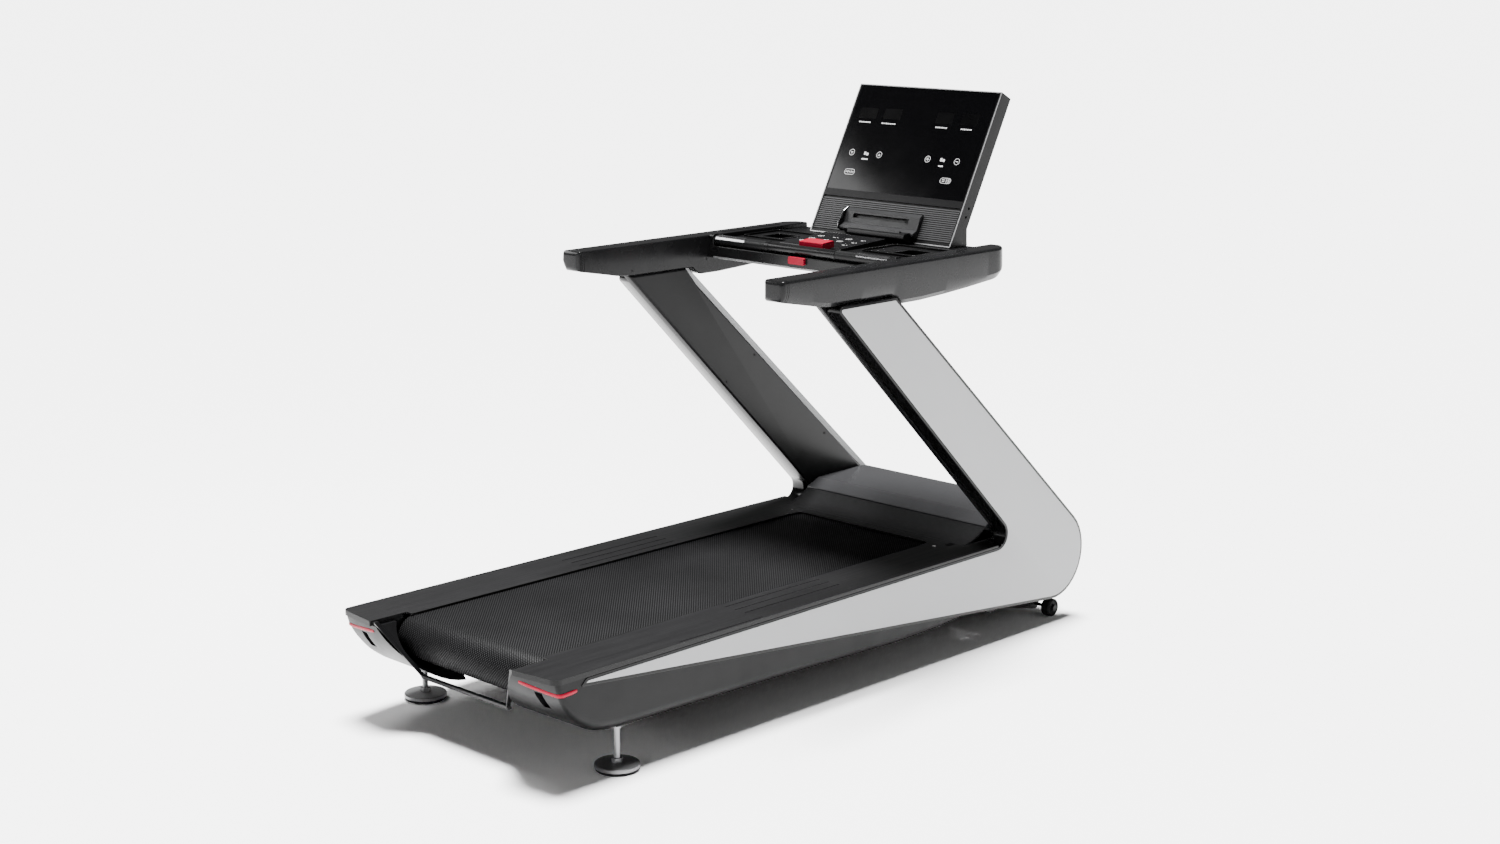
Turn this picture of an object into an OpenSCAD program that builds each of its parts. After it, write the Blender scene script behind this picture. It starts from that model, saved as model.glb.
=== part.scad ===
// Commercial flat-deck treadmill with Z-shaped side panels, long handrails and a
// leaning display. Millimetres. +Y is the front, where the display stands and the
// user looks; +Z is up; the origin is on the floor under the middle of the machine.

/* [Overall] */
// Length from the rear end caps to the front of the side panels
overall_l = 2220; // [2200:10:2260]
// Width across the side panels
overall_w = 888; // [880:2:900]

/* [Deck] */
// Height of the foot rail tops above the floor
deck_z = 306; // [304:1:308]
// Width of the running belt
belt_w = 560; // [548:2:560]
// Thickness of the running belt
belt_t = 3; // [2.5:0.5:3]
// Outer radius of both rollers
roller_r = 55; // [52:1:55]
// Thickness of the deck board
board_t = 24; // [20:1:24]
// Width of a steel frame rail
frame_w = 44; // [40:1:44]

/* [Uprights] */
// Depth of a silver side panel, from its face inwards
panel_depth = 50; // [48:1:52]
// Thickness of an upright with its inner cover
upright_t = 74; // [72:1:76]
// Width of the dark edging around a silver face
edging_w = 5; // [4:0.5:6]

/* [Handrails and desk] */
// Height of the handrail tops above the floor
rail_top_z = 1215; // [1210:1:1220]
// Length of a handrail from its rear end to the front of the desk
handrail_l = 980; // [960:5:1000]
// Radius of the crossbar grips
grip_r = 14.5; // [13:0.5:14.5]
// Side of a square cup holder
cup_w = 84; // [76:1:86]

/* [Display] */
// Width of the display housing
display_w = 564; // [540:2:570]
// Height of the display housing along its face
display_h = 508; // [490:1:512]
// Thickness of the display housing
display_t = 48; // [44:1:50]
// Lean of the display from the vertical, in degrees
display_lean = 27.8; // [26:0.1:29]

/* [Running gear] */
// Pitch radius of the pulley on the front roller
roller_pulley_r = 45; // [42:1:46]
// Pitch radius of the motor pulley
motor_pulley_r = 24; // [22:1:26]
// Radius of the flywheel
flywheel_r = 75; // [65:1:78]
// Running clearance between a shaft and its bore, on the radius
fit = 0.05; // [0.03:0.01:0.09]

/* [Lift] */
// Radius of the front wheels
wheel_r = 28; // [26:1:29]
// Radius of the lift frame tubes
lift_tube_r = 17; // [15:1:18]

/* [Feet] */
// Diameter of a rear foot
foot_d = 120; // [100:2:124]
// Diameter of a foot stud
stud_d = 16; // [14:1:16]

/* [Hidden] */
$fn = 72;

// colours
silver = [0.74, 0.75, 0.76];
charcoal = [0.2, 0.2, 0.21];
rail_grey = [0.33, 0.33, 0.34];
frame_black = [0.08, 0.08, 0.09];
rubber_black = [0.05, 0.05, 0.05];
steel = [0.6, 0.61, 0.63];
accent_red = [0.85, 0.1, 0.16];
glass_black = [0.02, 0.02, 0.03];

// common places
rear_y = -overall_l / 2;
front_y = overall_l / 2;
half_w = overall_w / 2;
far = 3000;
gap = 0.4;
wall = 3;

// deck stack, from the top down
belt_top_z = deck_z - 7;
board_top_z = belt_top_z - belt_t - 0.5;
board_x = 392;
roller_z = belt_top_z - belt_t - roller_r;
rear_roller_y = rear_y + 138;
front_roller_y = front_y - 470;
belt_in_r = roller_r + gap;
roller_x = belt_w / 2 + 5;
cushion_t = 12;
frame_z1 = board_top_z - board_t - cushion_t;
frame_z0 = frame_z1 - 88;
frame_x1 = 400;
frame_x0 = frame_x1 - frame_w;
frame_rear = rear_y + 108;
frame_front = front_y - 52;
axle_r = 10;
axle_end_x = 378;
bearing_r = 20;
bolt_x = 366;
bolt_r = 5;
rail_lip_x = 272;
rail_step_x = 295;

// uprights and the silver panels, as outlines of corners [y, z, radius]
seam_x = half_w - panel_depth;
upright_in_x = half_w - upright_t;
panel_out = [
    [rear_y + 100, deck_z - 35, 4],
    [front_y - 210, 84, 0],
    [front_y + 272, 36, 143],
    [front_y - 922, 1122, 4],
    [front_y - 1180, 1122, 14],
    [front_y - 341, deck_z - 6, 38],
    [rear_y + 122, deck_z - 14, 14]
];
cover_out = [
    [front_y - 347, deck_z + 0.5, 0],
    [front_y - 68, deck_z + 0.5, 0],
    [front_y - 903, 1068, 0],
    [front_y - 949, 1118, 0],
    [front_y - 1187, 1118, 0]
];
mast_x0 = 380;
mast_x1 = 430;
mast_w = 100;
mast_foot_z = frame_z1 + 10;
mast_top = [front_y - 1030, 1104];
mast_foot = [front_y - 120, 248];

// handrails and desk
arm_x0 = upright_in_x + 0.5;
desk_front_y = front_y - 406;
arm_rear_y = desk_front_y - handrail_l;
arm_out = [
    [arm_rear_y, rail_top_z - 58, 12],
    [arm_rear_y + 156, rail_top_z - 88, 40],
    [arm_rear_y + 214, 1123, 0],
    [front_y - 920, 1123, 0],
    [front_y - 892, rail_top_z - 118, 0],
    [front_y - 697, rail_top_z - 111, 60],
    [front_y - 449, rail_top_z - 90, 14],
    [desk_front_y, rail_top_z - 38, 14],
    [desk_front_y, rail_top_z, 8],
    [arm_rear_y, rail_top_z, 12]
];
arm_cap_l = 18;
arm_tube = [arm_rear_y + 60, desk_front_y - 50];
arm_tube_z = [rail_top_z - 51, rail_top_z - 17];
desk_x = upright_in_x - 0.3;
desk_z = rail_top_z - 15;
desk_rear_y = front_y - 852;
crossbar_y = front_y - 835;
crossbar_z = desk_z + 1;
crossbar_tube_r = 9;
ring_x = 134;
ring_w = 14;
grip_end_x = 350;
cup_at = [266, front_y - 646];
cup_depth = 34;
cross_tube_y = [front_y - 520, front_y - 480];

// display, in its own frame: y into the housing, z up along the face
display_base = [front_y - 494, desk_z];
face_x = display_w / 2;
glass_z = [151, display_h - 3];
grille_z = [14, 128];
grille_ribs = 16;

// lift: pivot, wheel axle and lever
pivot = [front_y - 370, 96];
wheel_at = [front_y - 92, wheel_r];
lift_travel = 40;
lever_l = 96;
lever_pin_r = 6;
lift_arm_x = 338;
lug_x = [364, 376];

// ---------- outline helpers ----------
function unit(v) = v / norm(v);
function at(c) = [c[0], c[1]];
function turned(v, a) = [v[0] * cos(a) - v[1] * sin(a), v[0] * sin(a) + v[1] * cos(a)];
function wrap(c, i) = c[(i + len(c)) % len(c)];

// the arc that rounds one corner p between its neighbours a and b
function corner_arc(a, p, b, step) =
    let (u = unit(at(a) - at(p)), v = unit(at(b) - at(p)), half = acos(u * v) / 2)
    p[2] <= 0 ? [at(p)] :
    let (
        centre = at(p) + unit(u + v) * p[2] / sin(half),
        start = at(p) + u * p[2] / tan(half) - centre,
        bend = 180 - 2 * half,
        way = sign(cross(-u, v)),
        n = max(1, ceil(bend / step))
    )
    [for (k = [0 : n]) centre + turned(start, way * bend * k / n)];

// the points of a closed outline of corners [y, z, radius], anticlockwise
function rounded(c, step = 7.5) =
    [for (i = [0 : len(c) - 1]) each corner_arc(wrap(c, i - 1), c[i], wrap(c, i + 1), step)];

// the same outline moved inwards by d
function inset(c, d) = [
    for (i = [0 : len(c) - 1])
        let (
            e = unit(at(c[i]) - at(wrap(c, i - 1))),
            f = unit(at(wrap(c, i + 1)) - at(c[i])),
            n = [-e[1], e[0]],
            m = [-f[1], f[0]],
            p = at(c[i]) + (n + m) * d / (1 + n * m),
            r = c[i][2]
        )
        [p[0], p[1], r <= 0 ? 0 : cross(e, f) > 0 ? max(r - d, 0) : r + d]
];

// a rectangle with one corner radius
function box_corners(a, b, r) =
    [[a[0], a[1], r], [b[0], a[1], r], [b[0], b[1], r], [a[0], b[1], r]];

// ---------- solid helpers ----------
module prism_x(points, x0, x1)
    translate([x0, 0, 0]) rotate([90, 0, 90]) linear_extrude(x1 - x0) polygon(points);

module prism_y(points, y0, y1)
    translate([0, y1, 0]) rotate([90, 0, 0]) linear_extrude(y1 - y0) polygon(points);

module prism_z(points, z0, z1)
    translate([0, 0, z0]) linear_extrude(z1 - z0) polygon(points);

module block(a, b) translate(a) cube(b - a);

module rod_x(yz, r, x0, x1)
    translate([x0, yz[0], yz[1]]) rotate([0, 90, 0]) cylinder(r = r, h = x1 - x0);

module rod_y(xz, r, y0, y1)
    translate([xz[0], y0, xz[1]]) rotate([-90, 0, 0]) cylinder(r = r, h = y1 - y0);

module rod_z(xy, r, z0, z1)
    translate([xy[0], xy[1], z0]) cylinder(r = r, h = z1 - z0);

module both_sides() {
    children();
    mirror([1, 0, 0]) children();
}

module on_side(s) {
    if (s > 0) children();
    else mirror([1, 0, 0]) children();
}

// a rectangular tube along X or Y, from corner a to corner b
module tube_y(a, b, t = wall)
    difference() {
        block(a, b);
        block([a.x + t, a.y - 1, a.z + t], [b.x - t, b.y + 1, b.z - t]);
    }

module tube_x(a, b, t = wall)
    difference() {
        block(a, b);
        block([a.x - 1, a.y + t, a.z + t], [b.x + 1, b.y - t, b.z - t]);
    }

// ---------- base and deck ----------
foot_xy = [400, rear_y + 260];
beam_z0 = frame_z0 - 44;
cross_z = [frame_z0 + 30, frame_z0 + 70];
motor_plate_y = [front_y - 390, front_y - 80];
plate_in_x = 90;
front_cross_y = [front_y - 90, front_y - 60];

module foot_beam()
    tube_x([-foot_xy.x - 30, foot_xy.y - 25, beam_z0], [foot_xy.x + 30, foot_xy.y + 25, frame_z0]);

module stud_bosses()
    both_sides() rod_z(foot_xy, stud_d / 2 + 7, beam_z0, frame_z0);

module lift_lugs()
    both_sides()
        prism_x(
            rounded([
                [pivot[0] - 60, frame_z0, 0], [pivot[0] - 28, pivot[1] - 26, 24],
                [pivot[0] + 28, pivot[1] - 26, 24], [pivot[0] + 60, frame_z0, 0]
            ]),
            lug_x[0], lug_x[1]
        );

module base_frame() {
    color(frame_black) difference() {
        union() {
            both_sides() {
                tube_y([frame_x0, frame_rear, frame_z0], [frame_x1, frame_front, frame_z1]);
                block([frame_x0, frame_rear, frame_z0], [frame_x1, frame_rear + 5, frame_z1]);
                block([frame_x0, mast_foot[0] - 130, frame_z1], [mast_x1, frame_front - 20, mast_foot_z]);
            }
            for (y = [-520, -110, 290])
                tube_x([-frame_x0, y - 20, cross_z[0]], [frame_x0, y + 20, cross_z[1]]);
            tube_x([-frame_x0, front_cross_y[0], frame_z0], [frame_x0, front_cross_y[1], frame_z0 + 50]);
            block([-frame_x1, motor_plate_y[0], frame_z0 - 5], [-plate_in_x, motor_plate_y[1], frame_z0]);
            block([plate_in_x, motor_plate_y[0], frame_z0 - 5], [frame_x1, motor_plate_y[1], frame_z0]);
            foot_beam();
            stud_bosses();
            lift_lugs();
        }
        both_sides() {
            rod_z(foot_xy, stud_d / 2 + fit, beam_z0 - 1, frame_z0 - 2);
            rod_x(pivot, lift_tube_r + fit, lug_x[0] - 1, lug_x[1] + 1);
            rod_x([front_roller_y, roller_z], axle_r, frame_x0 - 1, frame_x0 + wall + 1);
            block(
                [frame_x0 - 1, rear_roller_y - axle_r - 8, roller_z - axle_r],
                [frame_x0 + wall + 1, rear_roller_y + axle_r + 8, roller_z + axle_r]
            );
            rod_y([bolt_x, roller_z], bolt_r + fit, frame_rear - 1, frame_rear + 6);
        }
    }
}

module deck_board() {
    color([0.25, 0.2, 0.15])
        block(
            [-board_x, rear_roller_y + 78, board_top_z - board_t],
            [board_x, front_roller_y - 78, board_top_z]
        );
}

module deck_cushions() {
    color(rubber_black) both_sides() for (y = [-780, -460, -140, 180, 480])
        block([frame_x0 + 8, y - 25, frame_z1], [frame_x1 - 10, y + 25, board_top_z - board_t]);
}

module belt_loop(r, x0, x1) {
    rod_x([rear_roller_y, roller_z], r, x0, x1);
    rod_x([front_roller_y, roller_z], r, x0, x1);
    block([x0, rear_roller_y, roller_z - r], [x1, front_roller_y, roller_z + r]);
}

module running_belt() {
    color(rubber_black) difference() {
        belt_loop(roller_r + belt_t, -belt_w / 2, belt_w / 2);
        belt_loop(belt_in_r, -belt_w / 2 - 1, belt_w / 2 + 1);
    }
}

// a steel tube with end plugs bored for the bearings
module roller(y) {
    plug = 24;
    color(steel) translate([0, y, roller_z]) rotate([0, 90, 0]) rotate_extrude()
        polygon([
            [bearing_r + fit, roller_x], [roller_r - 3, roller_x], [roller_r, roller_x - 3],
            [roller_r, 3 - roller_x], [roller_r - 3, -roller_x], [bearing_r + fit, -roller_x],
            [bearing_r + fit, plug - roller_x], [roller_r - 4, plug - roller_x],
            [roller_r - 4, roller_x - plug], [bearing_r + fit, roller_x - plug]
        ]);
}

module front_roller() { roller(front_roller_y); }

module rear_roller() { roller(rear_roller_y); }

pulley_x = [-roller_x - 30, -roller_x - 4];

// a multi-groove pulley centred on an X axis, from x0 to x1
module ribbed_pulley(r, bore, x) {
    ribs = 6;
    pitch = (x[1] - x[0] - 6) / ribs;
    translate([x[0], 0, 0]) rotate([90, 0, 90]) rotate_extrude()
        polygon([
            [bore, 0], [r + 3, 0], [r + 3, 3],
            each [for (k = [0 : ribs - 1]) each [[r, 3 + k * pitch], [r - 2, 3 + (k + 0.5) * pitch]]],
            [r, x[1] - x[0] - 3], [r + 3, x[1] - x[0] - 3], [r + 3, x[1] - x[0]], [bore, x[1] - x[0]]
        ]);
}

module roller_pulley() {
    color(frame_black) translate([0, front_roller_y, roller_z]) {
        ribbed_pulley(roller_pulley_r, axle_r + 2, pulley_x);
        difference() {
            rod_x([0, 0], 30, pulley_x[1], -roller_x);
            rod_x([0, 0], bearing_r + 1, pulley_x[1] - 1, -roller_x + 1);
        }
    }
}

module roller_axles() {
    color(steel) for (y = [rear_roller_y, front_roller_y]) difference() {
        rod_x([y, roller_z], axle_r, -axle_end_x, axle_end_x);
        if (y < 0) both_sides() rod_y([bolt_x, roller_z], bolt_r + fit, y - 20, y + 20);
    }
}

module roller_bearings() {
    color(steel) both_sides() for (y = [rear_roller_y, front_roller_y]) difference() {
        rod_x([y, roller_z], bearing_r, roller_x - 16, roller_x);
        rod_x([y, roller_z], axle_r, roller_x - 17, roller_x + 1);
    }
}

module tension_bolts() {
    color(steel) both_sides() {
        rod_y([bolt_x, roller_z], bolt_r, frame_rear - 1, rear_roller_y + 30);
        translate([bolt_x, frame_rear - 9, roller_z]) rotate([-90, 0, 0])
            cylinder(r = 9.5, h = 8, $fn = 6);
    }
}

// ---------- drive ----------
motor_at = [front_y - 235, frame_z0 + 84];
motor_r = 58;
motor_x = [-258, -92];
shaft_r = 8;

module drive_motor() {
    color([0.15, 0.15, 0.16]) difference() {
        union() {
            rod_x(motor_at, motor_r, motor_x[0] + 14, motor_x[1] - 14);
            rod_x(motor_at, motor_r + 4, motor_x[0], motor_x[0] + 14);
            rod_x(motor_at, motor_r + 4, motor_x[1] - 14, motor_x[1]);
            block(
                [motor_x[0] + 20, motor_at[0] - 48, frame_z0],
                [motor_x[1] - 20, motor_at[0] + 48, motor_at[1] - 30]
            );
        }
        rod_x(motor_at, shaft_r + fit, motor_x[0] - 1, motor_x[0] + 60);
    }
}

module motor_flywheel() {
    color(steel) translate([0, motor_at[0], motor_at[1]]) {
        rod_x([0, 0], shaft_r, pulley_x[0] - 2, motor_x[0] + 58);
        rod_x([0, 0], flywheel_r, pulley_x[1] + 3, motor_x[0] - 3);
        ribbed_pulley(motor_pulley_r, shaft_r - 1, pulley_x);
    }
}

// the open belt around two pulleys of pitch radii r and q, in the YZ plane
function belt_lean(r, q, span) = asin((r - q) / span);

module drive_belt() {
    a = [front_roller_y, roller_z];
    b = motor_at;
    span = norm(b - a);
    along = atan2(b[1] - a[1], b[0] - a[0]);
    module loop(grow, x0, x1) {
        r = roller_pulley_r + grow;
        q = motor_pulley_r + grow;
        lean = 90 - belt_lean(r, q, span);
        rod_x(a, r, x0, x1);
        rod_x(b, q, x0, x1);
        prism_x(
            [
                a + r * turned([1, 0], along - lean), b + q * turned([1, 0], along - lean),
                b + q * turned([1, 0], along + lean), a + r * turned([1, 0], along + lean)
            ],
            x0, x1
        );
    }
    color(rubber_black) difference() {
        loop(2.4, pulley_x[0] + 3.5, pulley_x[1] - 3.5);
        loop(gap, pulley_x[0] + 3, pulley_x[1] - 3);
    }
}

module motor_controller() {
    color([0.1, 0.25, 0.15]) block(
        [110, front_y - 360, frame_z0], [290, front_y - 130, frame_z0 + 8]
    );
    color(steel) for (k = [0 : 8])
        block([118 + k * 20, front_y - 350, frame_z0 + 8], [124 + k * 20, front_y - 240, frame_z0 + 44]);
    color(steel) block([118, front_y - 350, frame_z0 + 8], [284, front_y - 240, frame_z0 + 14]);
    color(charcoal) for (k = [0 : 2])
        rod_z([150 + k * 50, front_y - 180], 17, frame_z0 + 8, frame_z0 + 52);
}

// ---------- lift ----------
axle_x = [lift_arm_x, half_w - 32];

module lift_frame() {
    color(frame_black) difference() {
        union() {
            rod_x(pivot, lift_tube_r, -lug_x[1] - 4, lug_x[1] + 4);
            rod_x([wheel_at[0] - 34, 52], lift_tube_r, -lift_arm_x - 10, lift_arm_x + 10);
            both_sides() {
                prism_x(
                    rounded([
                        [pivot[0] - 24, pivot[1] - 18, 16], [wheel_at[0] - 2, wheel_at[1] - 16, 14],
                        [wheel_at[0] + 18, wheel_at[1] - 2, 14], [wheel_at[0] + 6, wheel_at[1] + 20, 14],
                        [pivot[0] + 4, pivot[1] + 24, 18], [pivot[0] - 24, pivot[1] + 16, 16]
                    ]),
                    lift_arm_x - 12, lift_arm_x
                );
                rod_x(wheel_at, 5, lift_arm_x - 1, axle_x[1]);
                rod_x(wheel_at, 10, axle_x[1] - 6, axle_x[1]);
                lever_plate();
            }
            rod_x(lever_tip(), lever_pin_r, -15, 15);
        }
        rod_x(pivot, lift_tube_r - 4, -lug_x[1] - 5, lug_x[1] + 5);
    }
}

function lever_tip() = pivot + lever_l * turned([0, 1], lift_travel / 2);

module lever_plate() {
    tip = lever_tip();
    side = turned([1, 0], lift_travel / 2);
    prism_x(
        [pivot - 16 * side, pivot + 16 * side, tip + 11 * side, tip - 11 * side], 9, 15
    );
    rod_x(tip, 11, 9, 15);
}

actuator_z = pivot[1] + lever_l * cos(lift_travel / 4);

module lift_actuator() {
    color([0.3, 0.3, 0.32]) difference() {
        union() {
            rod_y([0, actuator_z], 18, front_y - 270, front_y - 150);
            block([-26, front_y - 150, actuator_z - 26], [26, front_cross_y[0], actuator_z + 26]);
            rod_y([62, actuator_z], 24, front_y - 215, front_y - 100);
            block([20, front_y - 140, actuator_z - 14], [62, front_y - 104, actuator_z + 14]);
        }
        rod_y([0, actuator_z], 9 + fit, front_y - 271, front_y - 160);
    }
}

module lift_rod() {
    tip = lever_tip();
    slot = 6;
    color(steel) difference() {
        union() {
            rod_y([0, actuator_z], 9, tip[0] + 10, tip[0] + 168);
            block([-6, tip[0] - 16, actuator_z - 17], [6, tip[0] + 18, actuator_z + 17]);
        }
        for (s = [-1, 1]) rod_x([tip[0], actuator_z + s * slot], lever_pin_r + 0.5, -7, 7);
        block(
            [-7, tip[0] - lever_pin_r - 0.5, actuator_z - slot],
            [7, tip[0] + lever_pin_r + 0.5, actuator_z + slot]
        );
    }
}

module front_wheel(s) {
    color(rubber_black) on_side(s) translate([lift_arm_x + 36, wheel_at[0], wheel_at[1]])
        rotate([90, 0, 90]) rotate_extrude()
            polygon([
                [5 + fit, 0], [12, 0], [12, 3], [20, 3], [wheel_r - 4, 0], [wheel_r, 4], [wheel_r, 28],
                [wheel_r - 4, 32], [20, 29], [12, 29], [12, 32], [5 + fit, 32]
            ]);
}

// ---------- rear feet ----------
pad_t = 8;
disc_z1 = 18;

module rear_foot(s) {
    color(steel) on_side(s) {
        translate([foot_xy.x, foot_xy.y, 0]) rotate_extrude()
            polygon([
                [0, pad_t], [foot_d / 2, pad_t], [foot_d / 2, disc_z1 - 2], [foot_d / 2 - 2, disc_z1],
                [16, disc_z1 + 2], [0, disc_z1 + 2]
            ]);
        translate([foot_xy.x, foot_xy.y, disc_z1]) cylinder(r = 15, h = 14, $fn = 6);
        rod_z(foot_xy, stud_d / 2, disc_z1, frame_z0 - 8);
    }
}

module foot_pad(s) {
    color(rubber_black) on_side(s) translate([foot_xy.x, foot_xy.y, 0]) rotate_extrude()
        polygon([[0, 0], [foot_d / 2 - 5, 0], [foot_d / 2 - 2, 3], [foot_d / 2 - 2, pad_t], [0, pad_t]]);
}

module foot_nuts() {
    color(steel) both_sides() difference() {
        translate([foot_xy.x, foot_xy.y, beam_z0 - 13]) cylinder(r = 15, h = 13, $fn = 6);
        rod_z(foot_xy, stud_d / 2 + fit, beam_z0 - 14, beam_z0 + 1);
    }
}

// ---------- deck covers ----------
rail_front_y = front_y - 502;
rail_out_t = 14;
groove_w = 7;
groove_d = 1.2;

module rail_grooves() {
    for (x = [rail_lip_x + 24, rail_lip_x + 62, rail_lip_x + 100])
        block([x, -350, deck_z - groove_d], [x + groove_w, 32, deck_z + 1]);
    block([half_w - 12, -656, deck_z - groove_d], [half_w - 6, -343, deck_z + 1]);
}

module foot_rail(s) {
    plan = [
        [rail_step_x, rear_y, 2], [half_w, rear_y + 18, 26], [half_w, front_y - 432, 0],
        [seam_x - gap, front_y - 432, 0], [seam_x - gap, front_y - 300, 0],
        [upright_in_x - 1, front_y - 300, 0], [upright_in_x - 1, rail_front_y, 0],
        [rail_lip_x, rail_front_y, 0], [rail_lip_x, rear_y + 124, 4], [rail_step_x, rear_y + 124, 4]
    ];
    taper = [
        [rear_y - 1, deck_z - rail_out_t], [front_y, deck_z - rail_out_t + 9], [front_y, deck_z],
        [rear_y - 1, deck_z]
    ];
    color(rail_grey) on_side(s) difference() {
        union() {
            intersection() {
                prism_z(rounded(plan), deck_z - rail_out_t, deck_z);
                prism_x(taper, rail_lip_x - 1, half_w + 1);
            }
            block([frame_x1 - 14, -960, frame_z1], [frame_x1 - 4, rail_front_y - 2, deck_z - 10]);
        }
        block([rail_lip_x - 1, rear_y + 112, deck_z - 30], [board_x + 1, front_y, deck_z - 5]);
        block(
            [board_x - 40, rear_roller_y + 76, frame_z1 - 1],
            [board_x + 1, front_roller_y - 76, deck_z - 5]
        );
        rail_grooves();
        translate([0, 0, gap]) prism_x(rounded(panel_out), seam_x + 9, half_w + 1);
    }
}

// rear end caps: side outline, slanted inner face and the arc around the roller
cap_top_z = deck_z - rail_out_t - 0.3;
cap_front_y = rear_y + 204;
cap_out = [
    [cap_front_y, 122, 0], [cap_front_y, cap_top_z, 0], [rear_y + 9, cap_top_z, 4],
    [rear_y + 84, 158, 50], [rear_y + 160, 128, 60]
];
cap_in_x = [180, rail_step_x];
cap_in_z = [161, deck_z];
cap_arc_r = 76;
cap_plan = [
    [cap_in_x[0] - 1, rear_y + 1, 0], [half_w - 4, rear_y + 19, 24],
    [half_w - 4, cap_front_y + 1, 0], [cap_in_x[0] - 1, cap_front_y + 1, 0]
];

// where the slanted inner edge of a cap stands at height z
function slant_x(z) =
    cap_in_x[0] + (cap_in_x[1] - cap_in_x[0]) * (z - cap_in_z[0]) / (cap_in_z[1] - cap_in_z[0]);

function cap_slant(d) = [
    [cap_in_x[0] + d, cap_in_z[0] - 60], [cap_in_x[0] + d, cap_in_z[0]],
    [cap_in_x[1] + d, cap_in_z[1]], [half_w - 4 - d, cap_in_z[1]], [half_w - 4 - d, cap_in_z[0] - 60]
];

module rear_cap(s) {
    color(charcoal) on_side(s) difference() {
        intersection() {
            prism_x(rounded(cap_out), cap_in_x[0], half_w - 4);
            prism_y(cap_slant(0), rear_y - 1, cap_front_y + 1);
            prism_z(rounded(cap_plan), 0, deck_z);
        }
        intersection() {
            prism_x(rounded(inset(cap_out, 4)), 0, half_w);
            prism_y(cap_slant(4), rear_y, cap_front_y);
        }
        block([cap_in_x[1] + 6, rear_y + 40, 126], [half_w - 9, cap_front_y + 1, cap_top_z + 1]);
        block([0, rear_y + 118, 126], [half_w - 9, cap_front_y + 1, cap_top_z + 1]);
        block(
            [foot_xy.x - 28, foot_xy.y - 60, 100], [half_w - 10, cap_front_y + 1, 140]
        );
        rod_x([rear_roller_y, roller_z], cap_arc_r, 0, cap_in_x[1] + 2);
        prism_x(rounded(inset(panel_out, -gap)), seam_x + 11, half_w + 1);
        adjuster_slot();
    }
}

slot_x = [349, 375];
slot_z = [208, 255];

module adjuster_slot()
    prism_y(
        [[slot_x[0], slot_z[0]], [slot_x[1], slot_z[0]], [slot_x[1], slot_z[1]], [slot_x[0], slot_z[1]]],
        rear_y - 1, rear_y + 90
    );

module accent_strips() {
    strip_z = [deck_z - 43, deck_z - 32];
    color(accent_red) both_sides() difference() {
        intersection() {
            prism_z(
                rounded([
                    [302, rear_y + 2, 0], [half_w - 1, rear_y + 19, 22],
                    [half_w - 1, rear_y + 78, 0], [302, rear_y + 78, 0]
                ]),
                strip_z[0], strip_z[1]
            );
            prism_x(
                [[rear_y + 7, cap_top_z], [rear_y + 24, strip_z[0] - 8], [rear_y + 80, strip_z[0] - 8],
                 [rear_y + 80, cap_top_z]],
                300, half_w
            );
        }
        intersection() {
            translate([0, -gap, 0]) prism_x(rounded(cap_out), cap_in_x[0], half_w - 4 + gap);
            prism_z(rounded(inset(cap_plan, -gap)), 0, deck_z);
        }
    }
}

// a thin frame around the opening between the end caps: two slanted strips and a bar
module rear_trim() {
    bar_y = rear_y + 85;
    bar_t = 12;
    strip_top = deck_z - 2;
    color(rail_grey) intersection() {
        union() {
            block(
                [-cap_in_x[0] + gap, rear_y, cap_in_z[0] - 10],
                [cap_in_x[0] - gap, rear_y + 200, cap_in_z[0] + 2]
            );
            both_sides() prism_y(
                [
                    [cap_in_x[0] - 12, cap_in_z[0] - 10], [cap_in_x[0] - gap, cap_in_z[0] - 10],
                    [cap_in_x[0] - gap, cap_in_z[0]], [slant_x(strip_top) - gap, strip_top],
                    [slant_x(strip_top) - 12, strip_top]
                ],
                rear_y, rear_y + 200
            );
        }
        prism_x(
            [
                [bar_y - 2, cap_in_z[0] - 12], [bar_y + bar_t, cap_in_z[0] - 12],
                [rear_y + 7 + bar_t, cap_in_z[1]], [rear_y + 4, cap_in_z[1]]
            ],
            -half_w, half_w
        );
    }
}

// ---------- silver panels and the covers below them ----------
module side_panel(s) {
    color(silver) on_side(s) difference() {
        union() {
            prism_x(rounded(panel_out), seam_x + 0.2, half_w - 6);
            prism_x(rounded(inset(panel_out, edging_w)), seam_x + 1, half_w - 0.4);
        }
        prism_x(rounded(inset(panel_out, edging_w + wall)), seam_x - 1, half_w - wall);
        block([seam_x - 1, rear_y, 0], [seam_x + 12, front_y + 1, deck_z + 20]);
        intersection() {
            mast_room(seam_x - 1, mast_x1 + 1);
            block([seam_x - 2, -far, 1100], [half_w, far, far]);
        }
    }
}

module panel_edges() {
    color(charcoal) both_sides() difference() {
        prism_x(rounded(panel_out), half_w - 6, half_w);
        prism_x(rounded(inset(panel_out, edging_w)), half_w - 7, half_w + 1);
    }
}

side_cover_out = [
    [rear_y + 204.5, 121, 0], [front_y - 1000, 108, 0], [front_y - 560, 118, 0],
    [front_y - 560, 122, 0], [rear_y + 204.5, deck_z - 44 - 2, 0]
];

module side_cover(s) {
    cover_x = half_w - 8;
    color(charcoal) on_side(s) difference() {
        prism_x(rounded(side_cover_out), frame_x1 + 6, cover_x);
        prism_x(rounded(inset(side_cover_out, wall)), frame_x1, cover_x - wall);
        block([frame_x1, rear_y, 100], [cover_x - wall, front_y, 200]);
        translate([0, 0, -gap]) prism_x(rounded(panel_out), seam_x - 1, half_w + 1);
    }
}

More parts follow.
